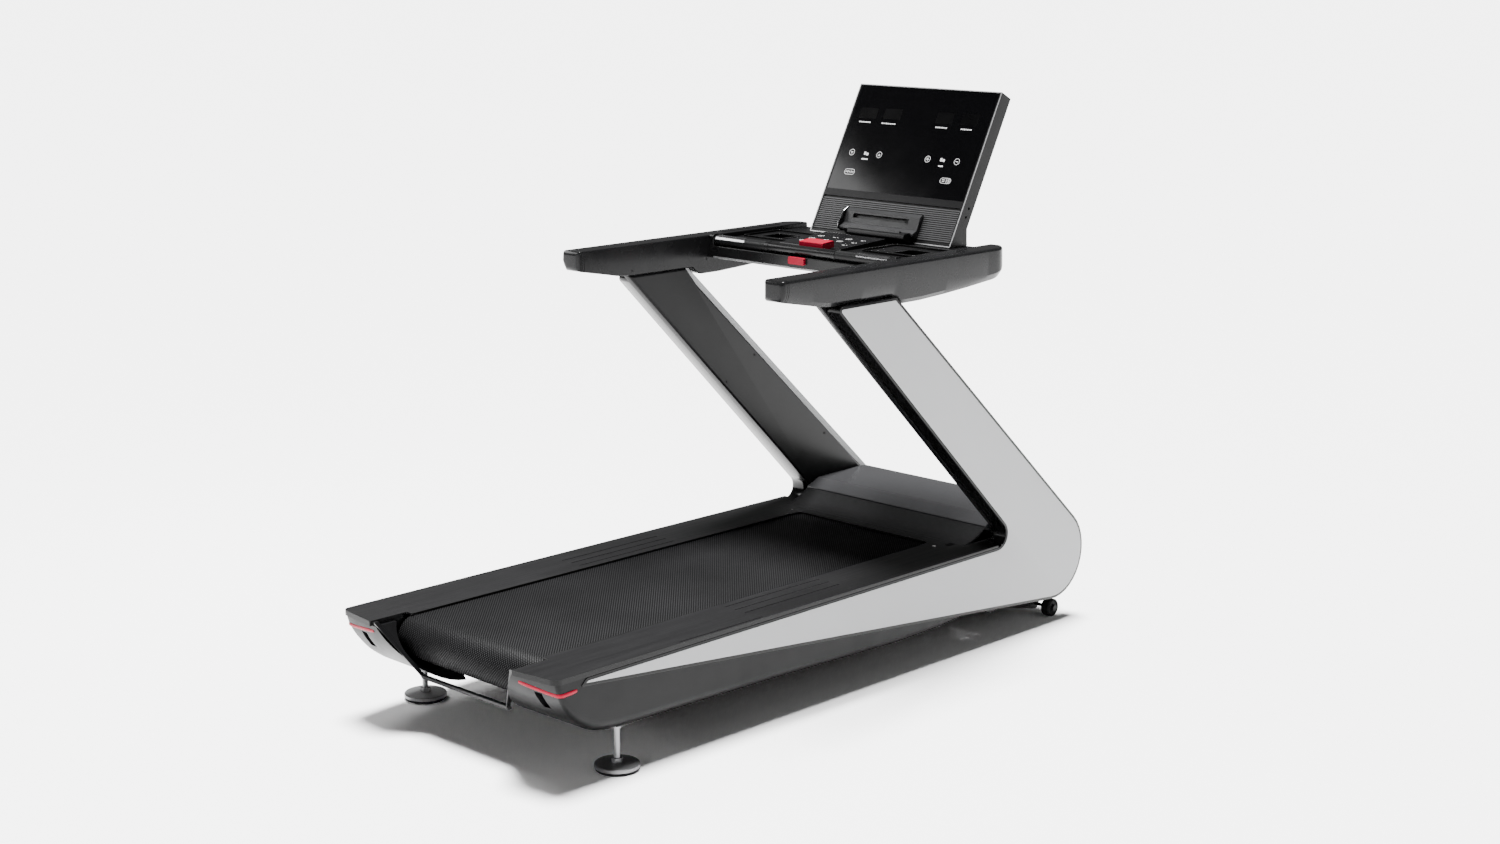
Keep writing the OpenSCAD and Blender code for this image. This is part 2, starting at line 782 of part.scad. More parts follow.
// ---------- uprights ----------
module mast(s) {
    way = unit(mast_top - mast_foot);
    side = [way[1], -way[0]] * mast_w / 2;
    far_up = mast_foot + way * 2000;
    on_side(s) intersection() {
        difference() {
            prism_x([mast_foot + side, far_up + side, far_up - side, mast_foot - side], mast_x0, mast_x1);
            prism_x(
                [
                    mast_foot + side * 0.92 - way * 100, far_up + side * 0.92,
                    far_up - side * 0.92, mast_foot - side * 0.92 - way * 100
                ],
                mast_x0 + 4, mast_x1 - 4
            );
        }
        block([0, -far, mast_foot_z], [half_w, far, arm_tube_z[0]]);
    }
}

module upright_frame() {
    color(frame_black) {
        mast(1);
        mast(-1);
        both_sides() tube_y(
            [mast_x0 + 2, arm_tube[0], arm_tube_z[0]], [mast_x1 - 2, arm_tube[1], arm_tube_z[1]]
        );
        tube_x(
            [-mast_x0 - 2, cross_tube_y[0], arm_tube_z[0]], [mast_x0 + 2, cross_tube_y[1], arm_tube_z[1] - 10]
        );
    }
}

module upright_cover(s) {
    color(charcoal) on_side(s) difference() {
        prism_x(rounded(cover_out), upright_in_x, seam_x);
        prism_x(rounded(inset(cover_out, wall)), upright_in_x + wall, seam_x + 1);
        mast_room(mast_x0 - 1, seam_x + 1);
        screw_holes(screw_spots, upright_in_x);
    }
}

// the clear space that the mast needs through the cover's ends
module mast_room(x0, x1) {
    way = unit(mast_top - mast_foot);
    side = [way[1], -way[0]] * (mast_w / 2 + 2);
    prism_x(
        [
            mast_foot + side - way * 300, mast_top + side + way * 300,
            mast_top - side + way * 300, mast_foot - side - way * 300
        ],
        x0, x1
    );
}

screw_spots = [[front_y - 650, 816], [front_y - 775, 747], [front_y - 320, 511]];
rail_spots = [[front_y - 1170, 1138], [front_y - 860, 1143]];
screw_r = 2.5;

module screw_holes(spots, x)
    for (p = spots) rod_x(p, screw_r, x - 1, x + wall + 1);

module screws(spots, x)
    for (p = spots) {
        rod_x(p, screw_r + 1.5, x - 1.4, x);
        rod_x(p, screw_r, x, x + wall + 6);
    }

module cover_screws() {
    color(frame_black) both_sides() {
        screws(screw_spots, upright_in_x);
        screws(rail_spots, arm_x0);
    }
}

// ---------- hood ----------
hood_x = upright_in_x - 1.5;
belt_gap_y = front_y - 548;
ramp_foot_y = front_y - 502;
ramp_top = [front_y - 406, 343];
ramp_r = 210;

// the concave face of the ramp as an arc that leaves the deck level and rises to the ridge
function ramp_arc(n) =
    let (a = [ramp_foot_y, deck_z], b = ramp_top, bend = 2 * asin(norm(b - a) / 2 / ramp_r))
    let (base = atan2(b[1] - a[1], b[0] - a[0]) - bend / 2)
    [for (k = [0 : n]) a + 2 * ramp_r * sin(bend * k / n / 2) * turned([1, 0], base + bend * k / n / 2)];

module hood_ramp() {
    color(rail_grey) {
        prism_x(
            [
                each ramp_arc(10), [ramp_top[0], ramp_top[1] - 5], [ramp_top[0] - 30, deck_z + 10],
                [ramp_foot_y + 10, deck_z - 4.5], [ramp_foot_y, deck_z - 4.5]
            ],
            -hood_x, hood_x
        );
        difference() {
            prism_z(
                rounded([
                    [-rail_lip_x + 0.3, belt_gap_y - 44, 0], [rail_lip_x - 0.3, belt_gap_y - 44, 0],
                    [rail_lip_x - 0.3, ramp_foot_y - 0.8, 0], [-rail_lip_x + 0.3, ramp_foot_y - 0.8, 0]
                ]),
                deck_z - 4.5, deck_z
            );
            prism_z(
                rounded([
                    [-rail_lip_x + 4, belt_gap_y - 80, 0], [rail_lip_x - 4, belt_gap_y - 80, 0],
                    [rail_lip_x - 4, belt_gap_y, 18], [-rail_lip_x + 4, belt_gap_y, 18]
                ]),
                deck_z - 6, deck_z + 1
            );
        }
    }
}

hood_split_z = 222;
bumper_z0 = 85;
hood_out = [
    [ramp_top[0] + 3, ramp_top[1] - 8, 0], [front_y - 80, hood_split_z, 0],
    [front_y - 7, hood_split_z, 0], [front_y - 14, 276, 90], [front_y - 60, 340, 40],
    [front_y - 118, 372, 40], [front_y - 350, 369, 20], [ramp_top[0] + 3, ramp_top[1] + 4, 0]
];

hood_room = [
    [ramp_top[0] + 7, bumper_z0, 0], [front_y - 11, bumper_z0, 0], [front_y - 18, 276, 86],
    [front_y - 64, 336, 36], [front_y - 121, 368, 36], [front_y - 350, 365, 16],
    [ramp_top[0] + 7, ramp_top[1] - 1, 0]
];

module motor_hood() {
    color(rail_grey) difference() {
        prism_x(rounded(hood_out), -hood_x, hood_x);
        prism_x(rounded(hood_room), -hood_x + 4, hood_x - 4);
        block([-half_w, 0, 0], [half_w, front_y - 46, mast_foot_z + 0.5]);
    }
}

bumper_r = 136;
bumper_t = 4;
bumper_y1 = front_y - 7;
bumper_out = [
    [bumper_y1 - bumper_r - 8, bumper_z0, 0], [bumper_y1, bumper_z0, bumper_r],
    [bumper_y1, hood_split_z - 0.5, 0], [bumper_y1 - bumper_t, hood_split_z - 0.5, 0],
    [bumper_y1 - bumper_t, bumper_z0 + bumper_t, bumper_r - bumper_t],
    [bumper_y1 - bumper_r - 8, bumper_z0 + bumper_t, 0]
];
inlet_x = [-284, -196];
inlet_z = [170, 210];
inlet_y = front_y - 17;

module front_bumper() {
    color(charcoal) difference() {
        prism_x(rounded(bumper_out), -hood_x, hood_x);
        block([inlet_x[0] - 1, inlet_y - 40, inlet_z[0] - 1], [inlet_x[1] + 1, front_y, inlet_z[1] + 1]);
    }
}

module power_inlet() {
    color(frame_black) difference() {
        union() {
            block([inlet_x[0], inlet_y - 2, inlet_z[0]], [inlet_x[1], inlet_y, inlet_z[1]]);
            block(
                [inlet_x[0] + 5, inlet_y - 30, inlet_z[0] + 4], [inlet_x[1] - 5, inlet_y - 2, inlet_z[1] - 4]
            );
        }
        block(
            [inlet_x[0] + 10, inlet_y - 20, inlet_z[0] + 8], [inlet_x[0] + 40, inlet_y + 1, inlet_z[1] - 8]
        );
        block(
            [inlet_x[0] + 49, inlet_y - 20, inlet_z[0] + 8], [inlet_x[0] + 71, inlet_y + 1, inlet_z[1] - 8]
        );
    }
}

module power_switch() {
    y1 = inlet_y;
    z = (inlet_z[0] + inlet_z[1]) / 2;
    color(accent_red) prism_x(
        rounded([
            [y1 - 14, z - 4, 0], [y1 - 4, z - 9, 1], [y1 + 1.5, z - 8, 1], [y1 - 1, z, 0],
            [y1 - 1, z + 9, 1], [y1 - 6, z + 9, 1], [y1 - 14, z + 4, 0]
        ]),
        inlet_x[0] + 49.6, inlet_x[0] + 70.4
    );
}

// ---------- handrails and desk ----------
desk_plan = [
    [-half_w, arm_rear_y, 16], [-half_w + 74, arm_rear_y, 16], [half_w - 74, arm_rear_y, 16],
    [half_w, arm_rear_y, 16], [half_w, desk_front_y, 60], [-half_w, desk_front_y, 60]
];

module arm_solid(d)
    intersection() {
        prism_x(rounded(inset(arm_out, d)), arm_x0 + d, half_w - d);
        prism_z(
            rounded([
                [arm_x0 + d, arm_rear_y + d, 14], [half_w - d, arm_rear_y + d, 14],
                [half_w - d, desk_front_y - d, 60 - d], [arm_x0 + d, desk_front_y - d, 0]
            ]),
            0, far
        );
    }

module handrail(s) {
    cap_y = arm_rear_y + arm_cap_l;
    color(charcoal) on_side(s) difference() {
        arm_solid(0);
        arm_solid(wall);
        block([0, arm_rear_y - 1, 0], [half_w + 1, cap_y + 0.4, far]);
        block(
            [mast_x0 - 1, front_y - 1150, 1100], [mast_x1 + 1, front_y - 960, 1140]
        );
        block(
            [arm_x0 - 1, cross_tube_y[0] - 1, arm_tube_z[0] - 1],
            [arm_x0 + wall + 1, cross_tube_y[1] + 1, arm_tube_z[1]]
        );
        screw_holes(rail_spots, arm_x0);
    }
}

module handrail_ends() {
    color(charcoal) both_sides() intersection() {
        arm_solid(0);
        block([0, arm_rear_y - 1, 0], [half_w + 1, arm_rear_y + arm_cap_l, far]);
    }
}

pan_out = [
    [desk_rear_y, rail_top_z - 68, 4], [desk_front_y - 2, rail_top_z - 68, 12],
    [desk_front_y - 2, desk_z - 4.3, 0], [desk_rear_y + 37, desk_z - 4.3, 0],
    [desk_rear_y + 37, desk_z - 16, 0], [desk_rear_y, desk_z - 16, 3]
];

module desk_pan() {
    color(charcoal) difference() {
        prism_x(rounded(pan_out), -desk_x, desk_x);
        prism_x(rounded(inset(pan_out, wall)), -desk_x + wall, desk_x - wall);
        block(
            [-desk_x + wall, desk_rear_y + 40, desk_z - 20], [desk_x - wall, desk_front_y - 5, desk_z]
        );
        block(
            [-half_w, cross_tube_y[0] - 1, arm_tube_z[0] - 1],
            [half_w, cross_tube_y[1] + 1, arm_tube_z[1]]
        );
        key_socket(0.4);
    }
}

module cup_square(grow, z0, z1)
    both_sides() prism_z(
        rounded(box_corners(
            [cup_at[0] - cup_w / 2 - grow, cup_at[1] - cup_w / 2 - grow],
            [cup_at[0] + cup_w / 2 + grow, cup_at[1] + cup_w / 2 + grow], 14 + grow
        )),
        z0, z1
    );

module desk_top() {
    color(charcoal) difference() {
        union() {
            block([-desk_x, desk_rear_y + 37.3, desk_z - 4], [desk_x, desk_front_y - 2, desk_z]);
            cup_square(2, desk_z - cup_depth, desk_z);
        }
        cup_square(0, desk_z - cup_depth + 2, desk_z + 1);
        estop_room(0.5, desk_z - 5);
    }
}

panel_x = 92;
panel_y = [front_y - 769, front_y - 560];

module keypad_panel() {
    color(rail_grey) difference() {
        prism_x(
            rounded([
                [panel_y[0], desk_z + 0.2, 0], [panel_y[1], desk_z + 0.2, 0], [panel_y[1], desk_z + 18, 3],
                [panel_y[0] + 4, desk_z + 7, 3]
            ]),
            -panel_x - 60, panel_x
        );
        estop_room(0.5, desk_z - 1);
    }
}

// ---------- emergency stop and safety key ----------
estop_x = [-44, 50];
estop_y = [front_y - 800, front_y - 748];

module estop_room(d, z0)
    block([estop_x[0] - d, estop_y[0] - d, z0], [estop_x[1] + d, estop_y[1] + d, far]);

module estop_button() {
    color(accent_red) prism_x(
        rounded([
            [estop_y[0], desk_z + 1, 0], [estop_y[1], desk_z + 1, 0], [estop_y[1], desk_z + 27, 3],
            [estop_y[0] + 2, desk_z + 23, 3]
        ]),
        estop_x[0], estop_x[1]
    );
    color(frame_black) block(
        [estop_x[0] + 12, estop_y[0] + 12, desk_z - 20], [estop_x[1] - 12, estop_y[1] - 12, desk_z + 1]
    );
}

key_x = 31;
key_z = [desk_z - 38, desk_z - 17];

module key_socket(d)
    block(
        [-key_x + 10 - d, desk_rear_y - 1, key_z[0] + 5 - d], [key_x - 10 + d, desk_rear_y + 12, key_z[1] - 5 + d]
    );

module safety_key() {
    color(accent_red) {
        prism_y(
            rounded(box_corners([-key_x, key_z[0]], [key_x, key_z[1]], 4)),
            desk_rear_y - 9, desk_rear_y - 0.2
        );
        block([-key_x + 10, desk_rear_y - 1, key_z[0] + 5], [key_x - 10, desk_rear_y + 10, key_z[1] - 5]);
    }
}

// ---------- crossbar ----------
module crossbar() {
    bar = [crossbar_y, crossbar_z];
    color(steel) rod_x(bar, crossbar_tube_r, -arm_x0, arm_x0);
    color(charcoal) difference() {
        rod_x(bar, grip_r, -ring_x + ring_w / 2, ring_x - ring_w / 2);
        rod_x(bar, crossbar_tube_r, -ring_x, ring_x);
    }
    color(steel) both_sides() difference() {
        rod_x(bar, grip_r + 1, ring_x - ring_w / 2, ring_x + ring_w / 2);
        rod_x(bar, crossbar_tube_r, ring_x - ring_w, ring_x + ring_w);
    }
}

plate_x = [224, 344];

module bar_grips() {
    bar = [crossbar_y, crossbar_z];
    color(charcoal) both_sides() difference() {
        rod_x(bar, grip_r, ring_x + ring_w / 2, grip_end_x);
        rod_x(bar, crossbar_tube_r, ring_x, grip_end_x + 1);
    }
}

module pulse_plates() {
    bar = [crossbar_y, crossbar_z];
    color(steel) both_sides() difference() {
        rod_x(bar, grip_r + 1.2, plate_x[0], plate_x[1]);
        rod_x(bar, grip_r, plate_x[0] - 1, plate_x[1] + 1);
        block([0, bar[0] - 40, bar[1] - 40], [half_w, bar[0] + 40, bar[1] + 4]);
    }
}

// ---------- display ----------
module on_display()
    translate([0, display_base[0], display_base[1]]) rotate([-display_lean, 0, 0]) children();

module console_shell() {
    color(charcoal) intersection() {
        on_display() difference() {
            block([-face_x, 0, -40], [face_x, display_t, display_h]);
            block([-face_x + 4, 8, -41], [face_x - 4, display_t - 4, display_h - 4]);
            block([-face_x + 8, -1, glass_z[0]], [face_x - 8, 9, glass_z[1]]);
            block([-face_x + 8, -1, grille_z[0]], [face_x - 8, 9, grille_z[1]]);
            for (z = [112, 140]) rod_x([26, z], 4, face_x - 5, face_x + 1);
        }
        block([-half_w, -far, desk_z + 0.3], [half_w, far, far]);
    }
}

module console_glass() {
    color(glass_black) on_display() block(
        [-face_x + 8.3, 0.6, glass_z[0] + 0.3], [face_x - 8.3, 7.6, glass_z[1] - 0.3]
    );
}

module speaker_grille() {
    pitch = (grille_z[1] - grille_z[0] - 8) / grille_ribs;
    color(charcoal) on_display() {
        block([-face_x + 8.3, 4, grille_z[0] + 0.3], [face_x - 8.3, 7.6, grille_z[1] - 0.3]);
        for (k = [0 : grille_ribs - 1])
            block(
                [-face_x + 8.3, 0.6, grille_z[0] + 4 + k * pitch],
                [face_x - 8.3, 4.5, grille_z[0] + 4 + (k + 0.55) * pitch]
            );
    }
}

holder_x = 148;

module tablet_holder() {
    color(charcoal) on_display() difference() {
        union() {
            prism_x(
                rounded([
                    [0, 18, 0], [0, 92, 0], [-10, 92, 3], [-16, 78, 8], [-12, 40, 8], [-26, 22, 3],
                    [-24, 16, 2]
                ]),
                -holder_x, holder_x
            );
            block([-112, -44, 12], [112, 0, 22]);
        }
        block([-116, -30, 58], [106, -4, 72]);
    }
}

module console_neck() {
    back = [display_base[0] + display_t * cos(display_lean), display_base[1] - display_t * sin(display_lean)];
    rise = 52;
    foot = back + (desk_z + 0.4 - back[1]) * [tan(display_lean), 1];
    top = foot + rise * [tan(display_lean), 1];
    color(charcoal) prism_x(
        rounded([
            [foot[0] + 0.4, foot[1], 0], [desk_front_y - 3, foot[1], 4], [desk_front_y - 5, foot[1] + 14, 10],
            [top[0] + 0.4, top[1], 0]
        ]),
        -face_x + 1, face_x - 1
    );
}

base_frame();
deck_board();
deck_cushions();
running_belt();
front_roller();
rear_roller();
roller_pulley();
roller_axles();
roller_bearings();
tension_bolts();
drive_motor();
motor_flywheel();
drive_belt();
motor_controller();
lift_frame();
lift_actuator();
lift_rod();
front_wheel(-1);  // front_wheel_left
front_wheel(1);  // front_wheel_right
rear_foot(-1);  // rear_foot_left
rear_foot(1);  // rear_foot_right
foot_pad(-1);  // foot_pad_left
foot_pad(1);  // foot_pad_right
foot_nuts();
foot_rail(-1);  // foot_rail_left
foot_rail(1);  // foot_rail_right
rear_cap(-1);  // rear_cap_left
rear_cap(1);  // rear_cap_right
accent_strips();
rear_trim();
side_panel(-1);  // side_panel_left
side_panel(1);  // side_panel_right
panel_edges();
side_cover(-1);  // side_cover_left
side_cover(1);  // side_cover_right
upright_frame();
upright_cover(-1);  // upright_cover_left
upright_cover(1);  // upright_cover_right
cover_screws();
hood_ramp();
motor_hood();
front_bumper();
power_inlet();
power_switch();
handrail(-1);  // handrail_left
handrail(1);  // handrail_right
handrail_ends();
desk_pan();
desk_top();
keypad_panel();
crossbar();
bar_grips();
pulse_plates();
estop_button();
safety_key();
console_shell();
console_glass();
speaker_grille();
tablet_holder();
console_neck();
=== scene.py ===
import itertools
import math

import bmesh
import bpy
from mathutils import Matrix, Vector


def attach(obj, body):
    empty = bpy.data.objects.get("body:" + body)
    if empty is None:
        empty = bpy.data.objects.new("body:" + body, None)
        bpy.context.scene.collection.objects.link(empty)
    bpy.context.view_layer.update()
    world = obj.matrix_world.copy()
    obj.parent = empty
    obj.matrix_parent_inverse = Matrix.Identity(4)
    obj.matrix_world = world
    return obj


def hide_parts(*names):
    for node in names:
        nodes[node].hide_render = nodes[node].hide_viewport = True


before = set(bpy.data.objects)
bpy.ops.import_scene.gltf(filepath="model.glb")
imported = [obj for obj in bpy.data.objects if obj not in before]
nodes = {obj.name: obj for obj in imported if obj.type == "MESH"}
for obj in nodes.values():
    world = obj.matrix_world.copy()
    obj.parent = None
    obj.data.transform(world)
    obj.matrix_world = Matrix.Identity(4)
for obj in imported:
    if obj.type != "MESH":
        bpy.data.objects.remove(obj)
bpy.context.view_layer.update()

BASE = "treadmill"
SIDES = (("left", -1), ("right", 1))
HALF_W = 0.444  # over the side panels
DECK_Z = 0.306
DESK_Z = 1.200
REAR_Y = -1.110
FRONT_Y = 1.110
SCREEN_Y = FRONT_Y - 0.494  # foot of the display's face
LEAN = math.radians(27.8)  # of the display, away from the user
# how far the display's face lies along the direction into the display
FACE_DEPTH = SCREEN_Y * math.cos(LEAN) - DESK_Z * math.sin(LEAN)
WEAR_RADIUS = 0.0012
WELD = 1e-6


# ---------------------------------------------------------------- materials
class Shader:
    """Small helper that adds nodes to one material."""

    def __init__(self, name):
        self.mat = bpy.data.materials.new(name)
        self.mat.use_nodes = True
        self.tree = self.mat.node_tree
        self.bsdf = self.tree.nodes["Principled BSDF"]
        self.coord = self.add("ShaderNodeTexCoord")

    def add(self, kind, **values):
        node = self.tree.nodes.new(kind)
        for key, value in values.items():
            setattr(node, key, value)
        return node

    def link(self, a, b):
        self.tree.links.new(a, b)

    def feed(self, socket, value):
        """Sets a socket to a number or colour, or links it to another node."""
        if isinstance(value, (tuple, list)):
            socket.default_value = (*value, 1)
        elif isinstance(value, (int, float)):
            socket.default_value = value
        else:
            self.link(value, socket)

    def place(self, scale):
        """Object coordinates stretched by a scale per axis."""
        m = self.add("ShaderNodeMapping")
        m.inputs["Scale"].default_value = scale
        self.link(self.coord.outputs["Object"], m.inputs["Vector"])
        return m.outputs["Vector"]

    def noise(self, scale, vector=None, detail=3.0, rough=0.55):
        n = self.add("ShaderNodeTexNoise")
        n.inputs["Scale"].default_value = scale
        n.inputs["Detail"].default_value = detail
        n.inputs["Roughness"].default_value = rough
        self.link(vector or self.coord.outputs["Object"], n.inputs["Vector"])
        return n.outputs["Fac"]

    def spread(self, value, low, high, from_low=0.3, from_high=0.7):
        """Maps from_low..from_high to low..high, clamped."""
        r = self.add("ShaderNodeMapRange")
        for key, v in (("From Min", from_low), ("From Max", from_high), ("To Min", low), ("To Max", high)):
            r.inputs[key].default_value = v
        self.link(value, r.inputs["Value"])
        return r.outputs["Result"]

    def maths(self, what, a, b=None):
        m = self.add("ShaderNodeMath", operation=what)
        self.feed(m.inputs[0], a)
        if b is not None:
            self.feed(m.inputs[1], b)
        return m.outputs[0]

    def mix(self, factor, a, b):
        m = self.add("ShaderNodeMix", data_type="RGBA")
        for key, value in (("Factor", factor), ("A", a), ("B", b)):
            self.feed(m.inputs[key], value)
        return m.outputs["Result"]

    def bump(self, height, strength, distance, under=None):
        b = self.add("ShaderNodeBump")
        b.inputs["Strength"].default_value = strength
        b.inputs["Distance"].default_value = distance
        self.link(height, b.inputs["Height"])
        if under:
            self.link(under, b.inputs["Normal"])
        return b.outputs["Normal"]

    def edge(self, radius):
        """1 near a convex edge, 0 on a flat face."""
        b = self.add("ShaderNodeBevel", samples=4)
        b.inputs["Radius"].default_value = radius
        g = self.add("ShaderNodeNewGeometry")
        d = self.add("ShaderNodeVectorMath", operation="DOT_PRODUCT")
        self.link(b.outputs["Normal"], d.inputs[0])
        self.link(g.outputs["Normal"], d.inputs[1])
        return self.spread(d.outputs["Value"], 1.0, 0.0, 0.80, 0.995)


def tint(color, k):
    """The colour times k."""
    return tuple(min(1.0, c * k) for c in color)


def moulded(name, color, rough, vary, spread=0.06, grain=900, bump=0.12, distance=0.0002,
            metallic=0.0, wear=0.0, large=7.0, shine=0.5):
    """A plastic, rubber or painted surface: uneven tone, uneven gloss, fine texture, worn edges."""
    s = Shader(name)
    base = s.mix(s.spread(s.noise(large), 0, 1), tint(color, 1 - vary), tint(color, 1 + vary))
    base = s.mix(s.spread(s.noise(grain * 0.6), 0, 0.35), base, tint(color, 1 + 2.2 * vary))
    if wear:
        rubbed = s.maths("MULTIPLY", s.edge(WEAR_RADIUS), s.spread(s.noise(60), 0.35, 1.0))
        base = s.mix(s.maths("MULTIPLY", rubbed, wear), base, tint(color, 2.6))
    s.link(base, s.bsdf.inputs["Base Color"])
    s.link(s.spread(s.noise(11, detail=4), rough - spread, rough + spread), s.bsdf.inputs["Roughness"])
    s.link(s.bump(s.noise(grain, detail=2), bump, distance), s.bsdf.inputs["Normal"])
    s.bsdf.inputs["Metallic"].default_value = metallic
    s.bsdf.inputs["Specular IOR Level"].default_value = shine
    return s.mat


def brushed(name, color, rough, along, bump=0.05, metallic=1.0, spread=0.08):
    """A metal with fine lines along one axis."""
    s = Shader(name)
    scale = [900.0, 900.0, 900.0]
    scale[along] = 12.0
    lines = s.noise(1.0, s.place(tuple(scale)), 4, 0.6)
    s.link(s.mix(s.spread(lines, 0, 1), tint(color, 0.86), tint(color, 1.1)), s.bsdf.inputs["Base Color"])
    s.link(s.spread(lines, rough - spread, rough + spread), s.bsdf.inputs["Roughness"])
    s.link(s.bump(lines, bump, 0.0001), s.bsdf.inputs["Normal"])
    s.bsdf.inputs["Metallic"].default_value = metallic
    return s.mat


def belt_material():
    """Black running surface with a diamond weave; UV is in metres, u across and v along."""
    s = Shader("belt_weave")
    split = s.add("ShaderNodeSeparateXYZ")
    s.link(s.coord.outputs["UV"], split.inputs[0])
    pitch = 0.0090
    k = math.pi / pitch
    u, v = split.outputs[0], split.outputs[1]
    a = s.maths("SINE", s.maths("MULTIPLY", s.maths("ADD", u, v), k))
    b = s.maths("SINE", s.maths("MULTIPLY", s.maths("SUBTRACT", u, v), k))
    lump = s.maths("MULTIPLY", s.maths("ABSOLUTE", a), s.maths("ABSOLUTE", b))
    dots = s.spread(lump, 0, 1, 0.50, 0.82)
    worn = s.spread(s.noise(3.0), 0.55, 1.0)
    fine = s.spread(s.noise(1400, None, 2), 0.8, 1.2)
    shown = s.maths("MULTIPLY", s.maths("MULTIPLY", dots, worn), fine)
    base = s.mix(shown, (0.0002, 0.0002, 0.0003), (0.026, 0.026, 0.027))
    s.bsdf.inputs["Specular IOR Level"].default_value = 0.05
    s.link(base, s.bsdf.inputs["Base Color"])
    s.link(s.spread(dots, 0.62, 0.36, 0, 1), s.bsdf.inputs["Roughness"])
    s.link(s.bump(lump, 0.7, 0.0007), s.bsdf.inputs["Normal"])
    return s.mat


def rail_material():
    """Grey foot rail moulding with a brushed grain along the deck."""
    s = Shader("rail_grain")
    lines = s.noise(1.0, s.place((420, 5, 420)), 5, 0.62)
    fine = s.noise(1.0, s.place((1500, 22, 1500)), 2)
    base = s.mix(s.spread(lines, 0, 1), (0.0034, 0.0034, 0.0036), (0.0100, 0.0100, 0.0104))
    base = s.mix(s.spread(fine, 0, 0.40), base, (0.0085, 0.0085, 0.0088))
    rubbed = s.maths("MULTIPLY", s.edge(0.0015), 0.55)
    s.link(s.mix(rubbed, base, (0.020, 0.020, 0.021)), s.bsdf.inputs["Base Color"])
    s.bsdf.inputs["Specular IOR Level"].default_value = 0.12
    s.link(s.spread(lines, 0.30, 0.46), s.bsdf.inputs["Roughness"])
    s.link(s.bump(lines, 0.16, 0.0003, s.bump(fine, 0.08, 0.0001)), s.bsdf.inputs["Normal"])
    return s.mat


def grille_painted_rib_shade():
    """Grey moulding with painted shade: the channels between its raised level ribs are painted dark and the
    rib tops light.
    """
    s = Shader("ribbed_grille_painted_shade")
    split = s.add("ShaderNodeSeparateXYZ")
    s.link(s.coord.outputs["Object"], split.inputs[0])
    along_y = s.maths("MULTIPLY", split.outputs[1], math.cos(LEAN))
    along_z = s.maths("MULTIPLY", split.outputs[2], math.sin(LEAN))
    depth = s.maths("SUBTRACT", along_y, along_z)
    # painted shade: points deeper than the rib tops get the dark colour, the rib tops the light one
    high = s.spread(depth, 1, 0, FACE_DEPTH + 0.0012, FACE_DEPTH + 0.0036)
    tone = s.spread(s.noise(900, None, 2), 0.85, 1.15)
    base = s.mix(s.maths("MULTIPLY", high, tone), (0.0030, 0.0030, 0.0032), (0.046, 0.046, 0.047))
    s.link(base, s.bsdf.inputs["Base Color"])
    s.bsdf.inputs["Specular IOR Level"].default_value = 0.12
    s.link(s.spread(s.noise(40), 0.36, 0.50), s.bsdf.inputs["Roughness"])
    s.link(s.bump(s.noise(1300, None, 2), 0.05, 0.0001), s.bsdf.inputs["Normal"])
    return s.mat


def wood_material():
    """Dark grain of the deck board along Y."""
    s = Shader("board_face")
    lines = s.noise(1.0, s.place((60, 3, 160)), 5)
    base = s.mix(s.spread(lines, 0, 1), (0.035, 0.022, 0.014), (0.09, 0.06, 0.038))
    s.link(base, s.bsdf.inputs["Base Color"])
    s.link(s.spread(lines, 0.35, 0.55), s.bsdf.inputs["Roughness"])
    s.link(s.bump(lines, 0.2, 0.0002), s.bsdf.inputs["Normal"])
    return s.mat


def board_material():
    """Green circuit board with lighter tracks."""
    s = Shader("circuit_board")
    cells = s.add("ShaderNodeTexVoronoi")
    cells.inputs["Scale"].default_value = 120
    s.link(s.coord.outputs["Object"], cells.inputs["Vector"])
    tracks = s.spread(cells.outputs["Distance"], 0, 1, 0.2, 0.3)
    s.link(s.mix(tracks, (0.05, 0.09, 0.03), (0.006, 0.045, 0.02)), s.bsdf.inputs["Base Color"])
    s.link(s.spread(s.noise(40), 0.3, 0.5), s.bsdf.inputs["Roughness"])
    s.link(s.bump(tracks, 0.3, 0.0003), s.bsdf.inputs["Normal"])
    return s.mat


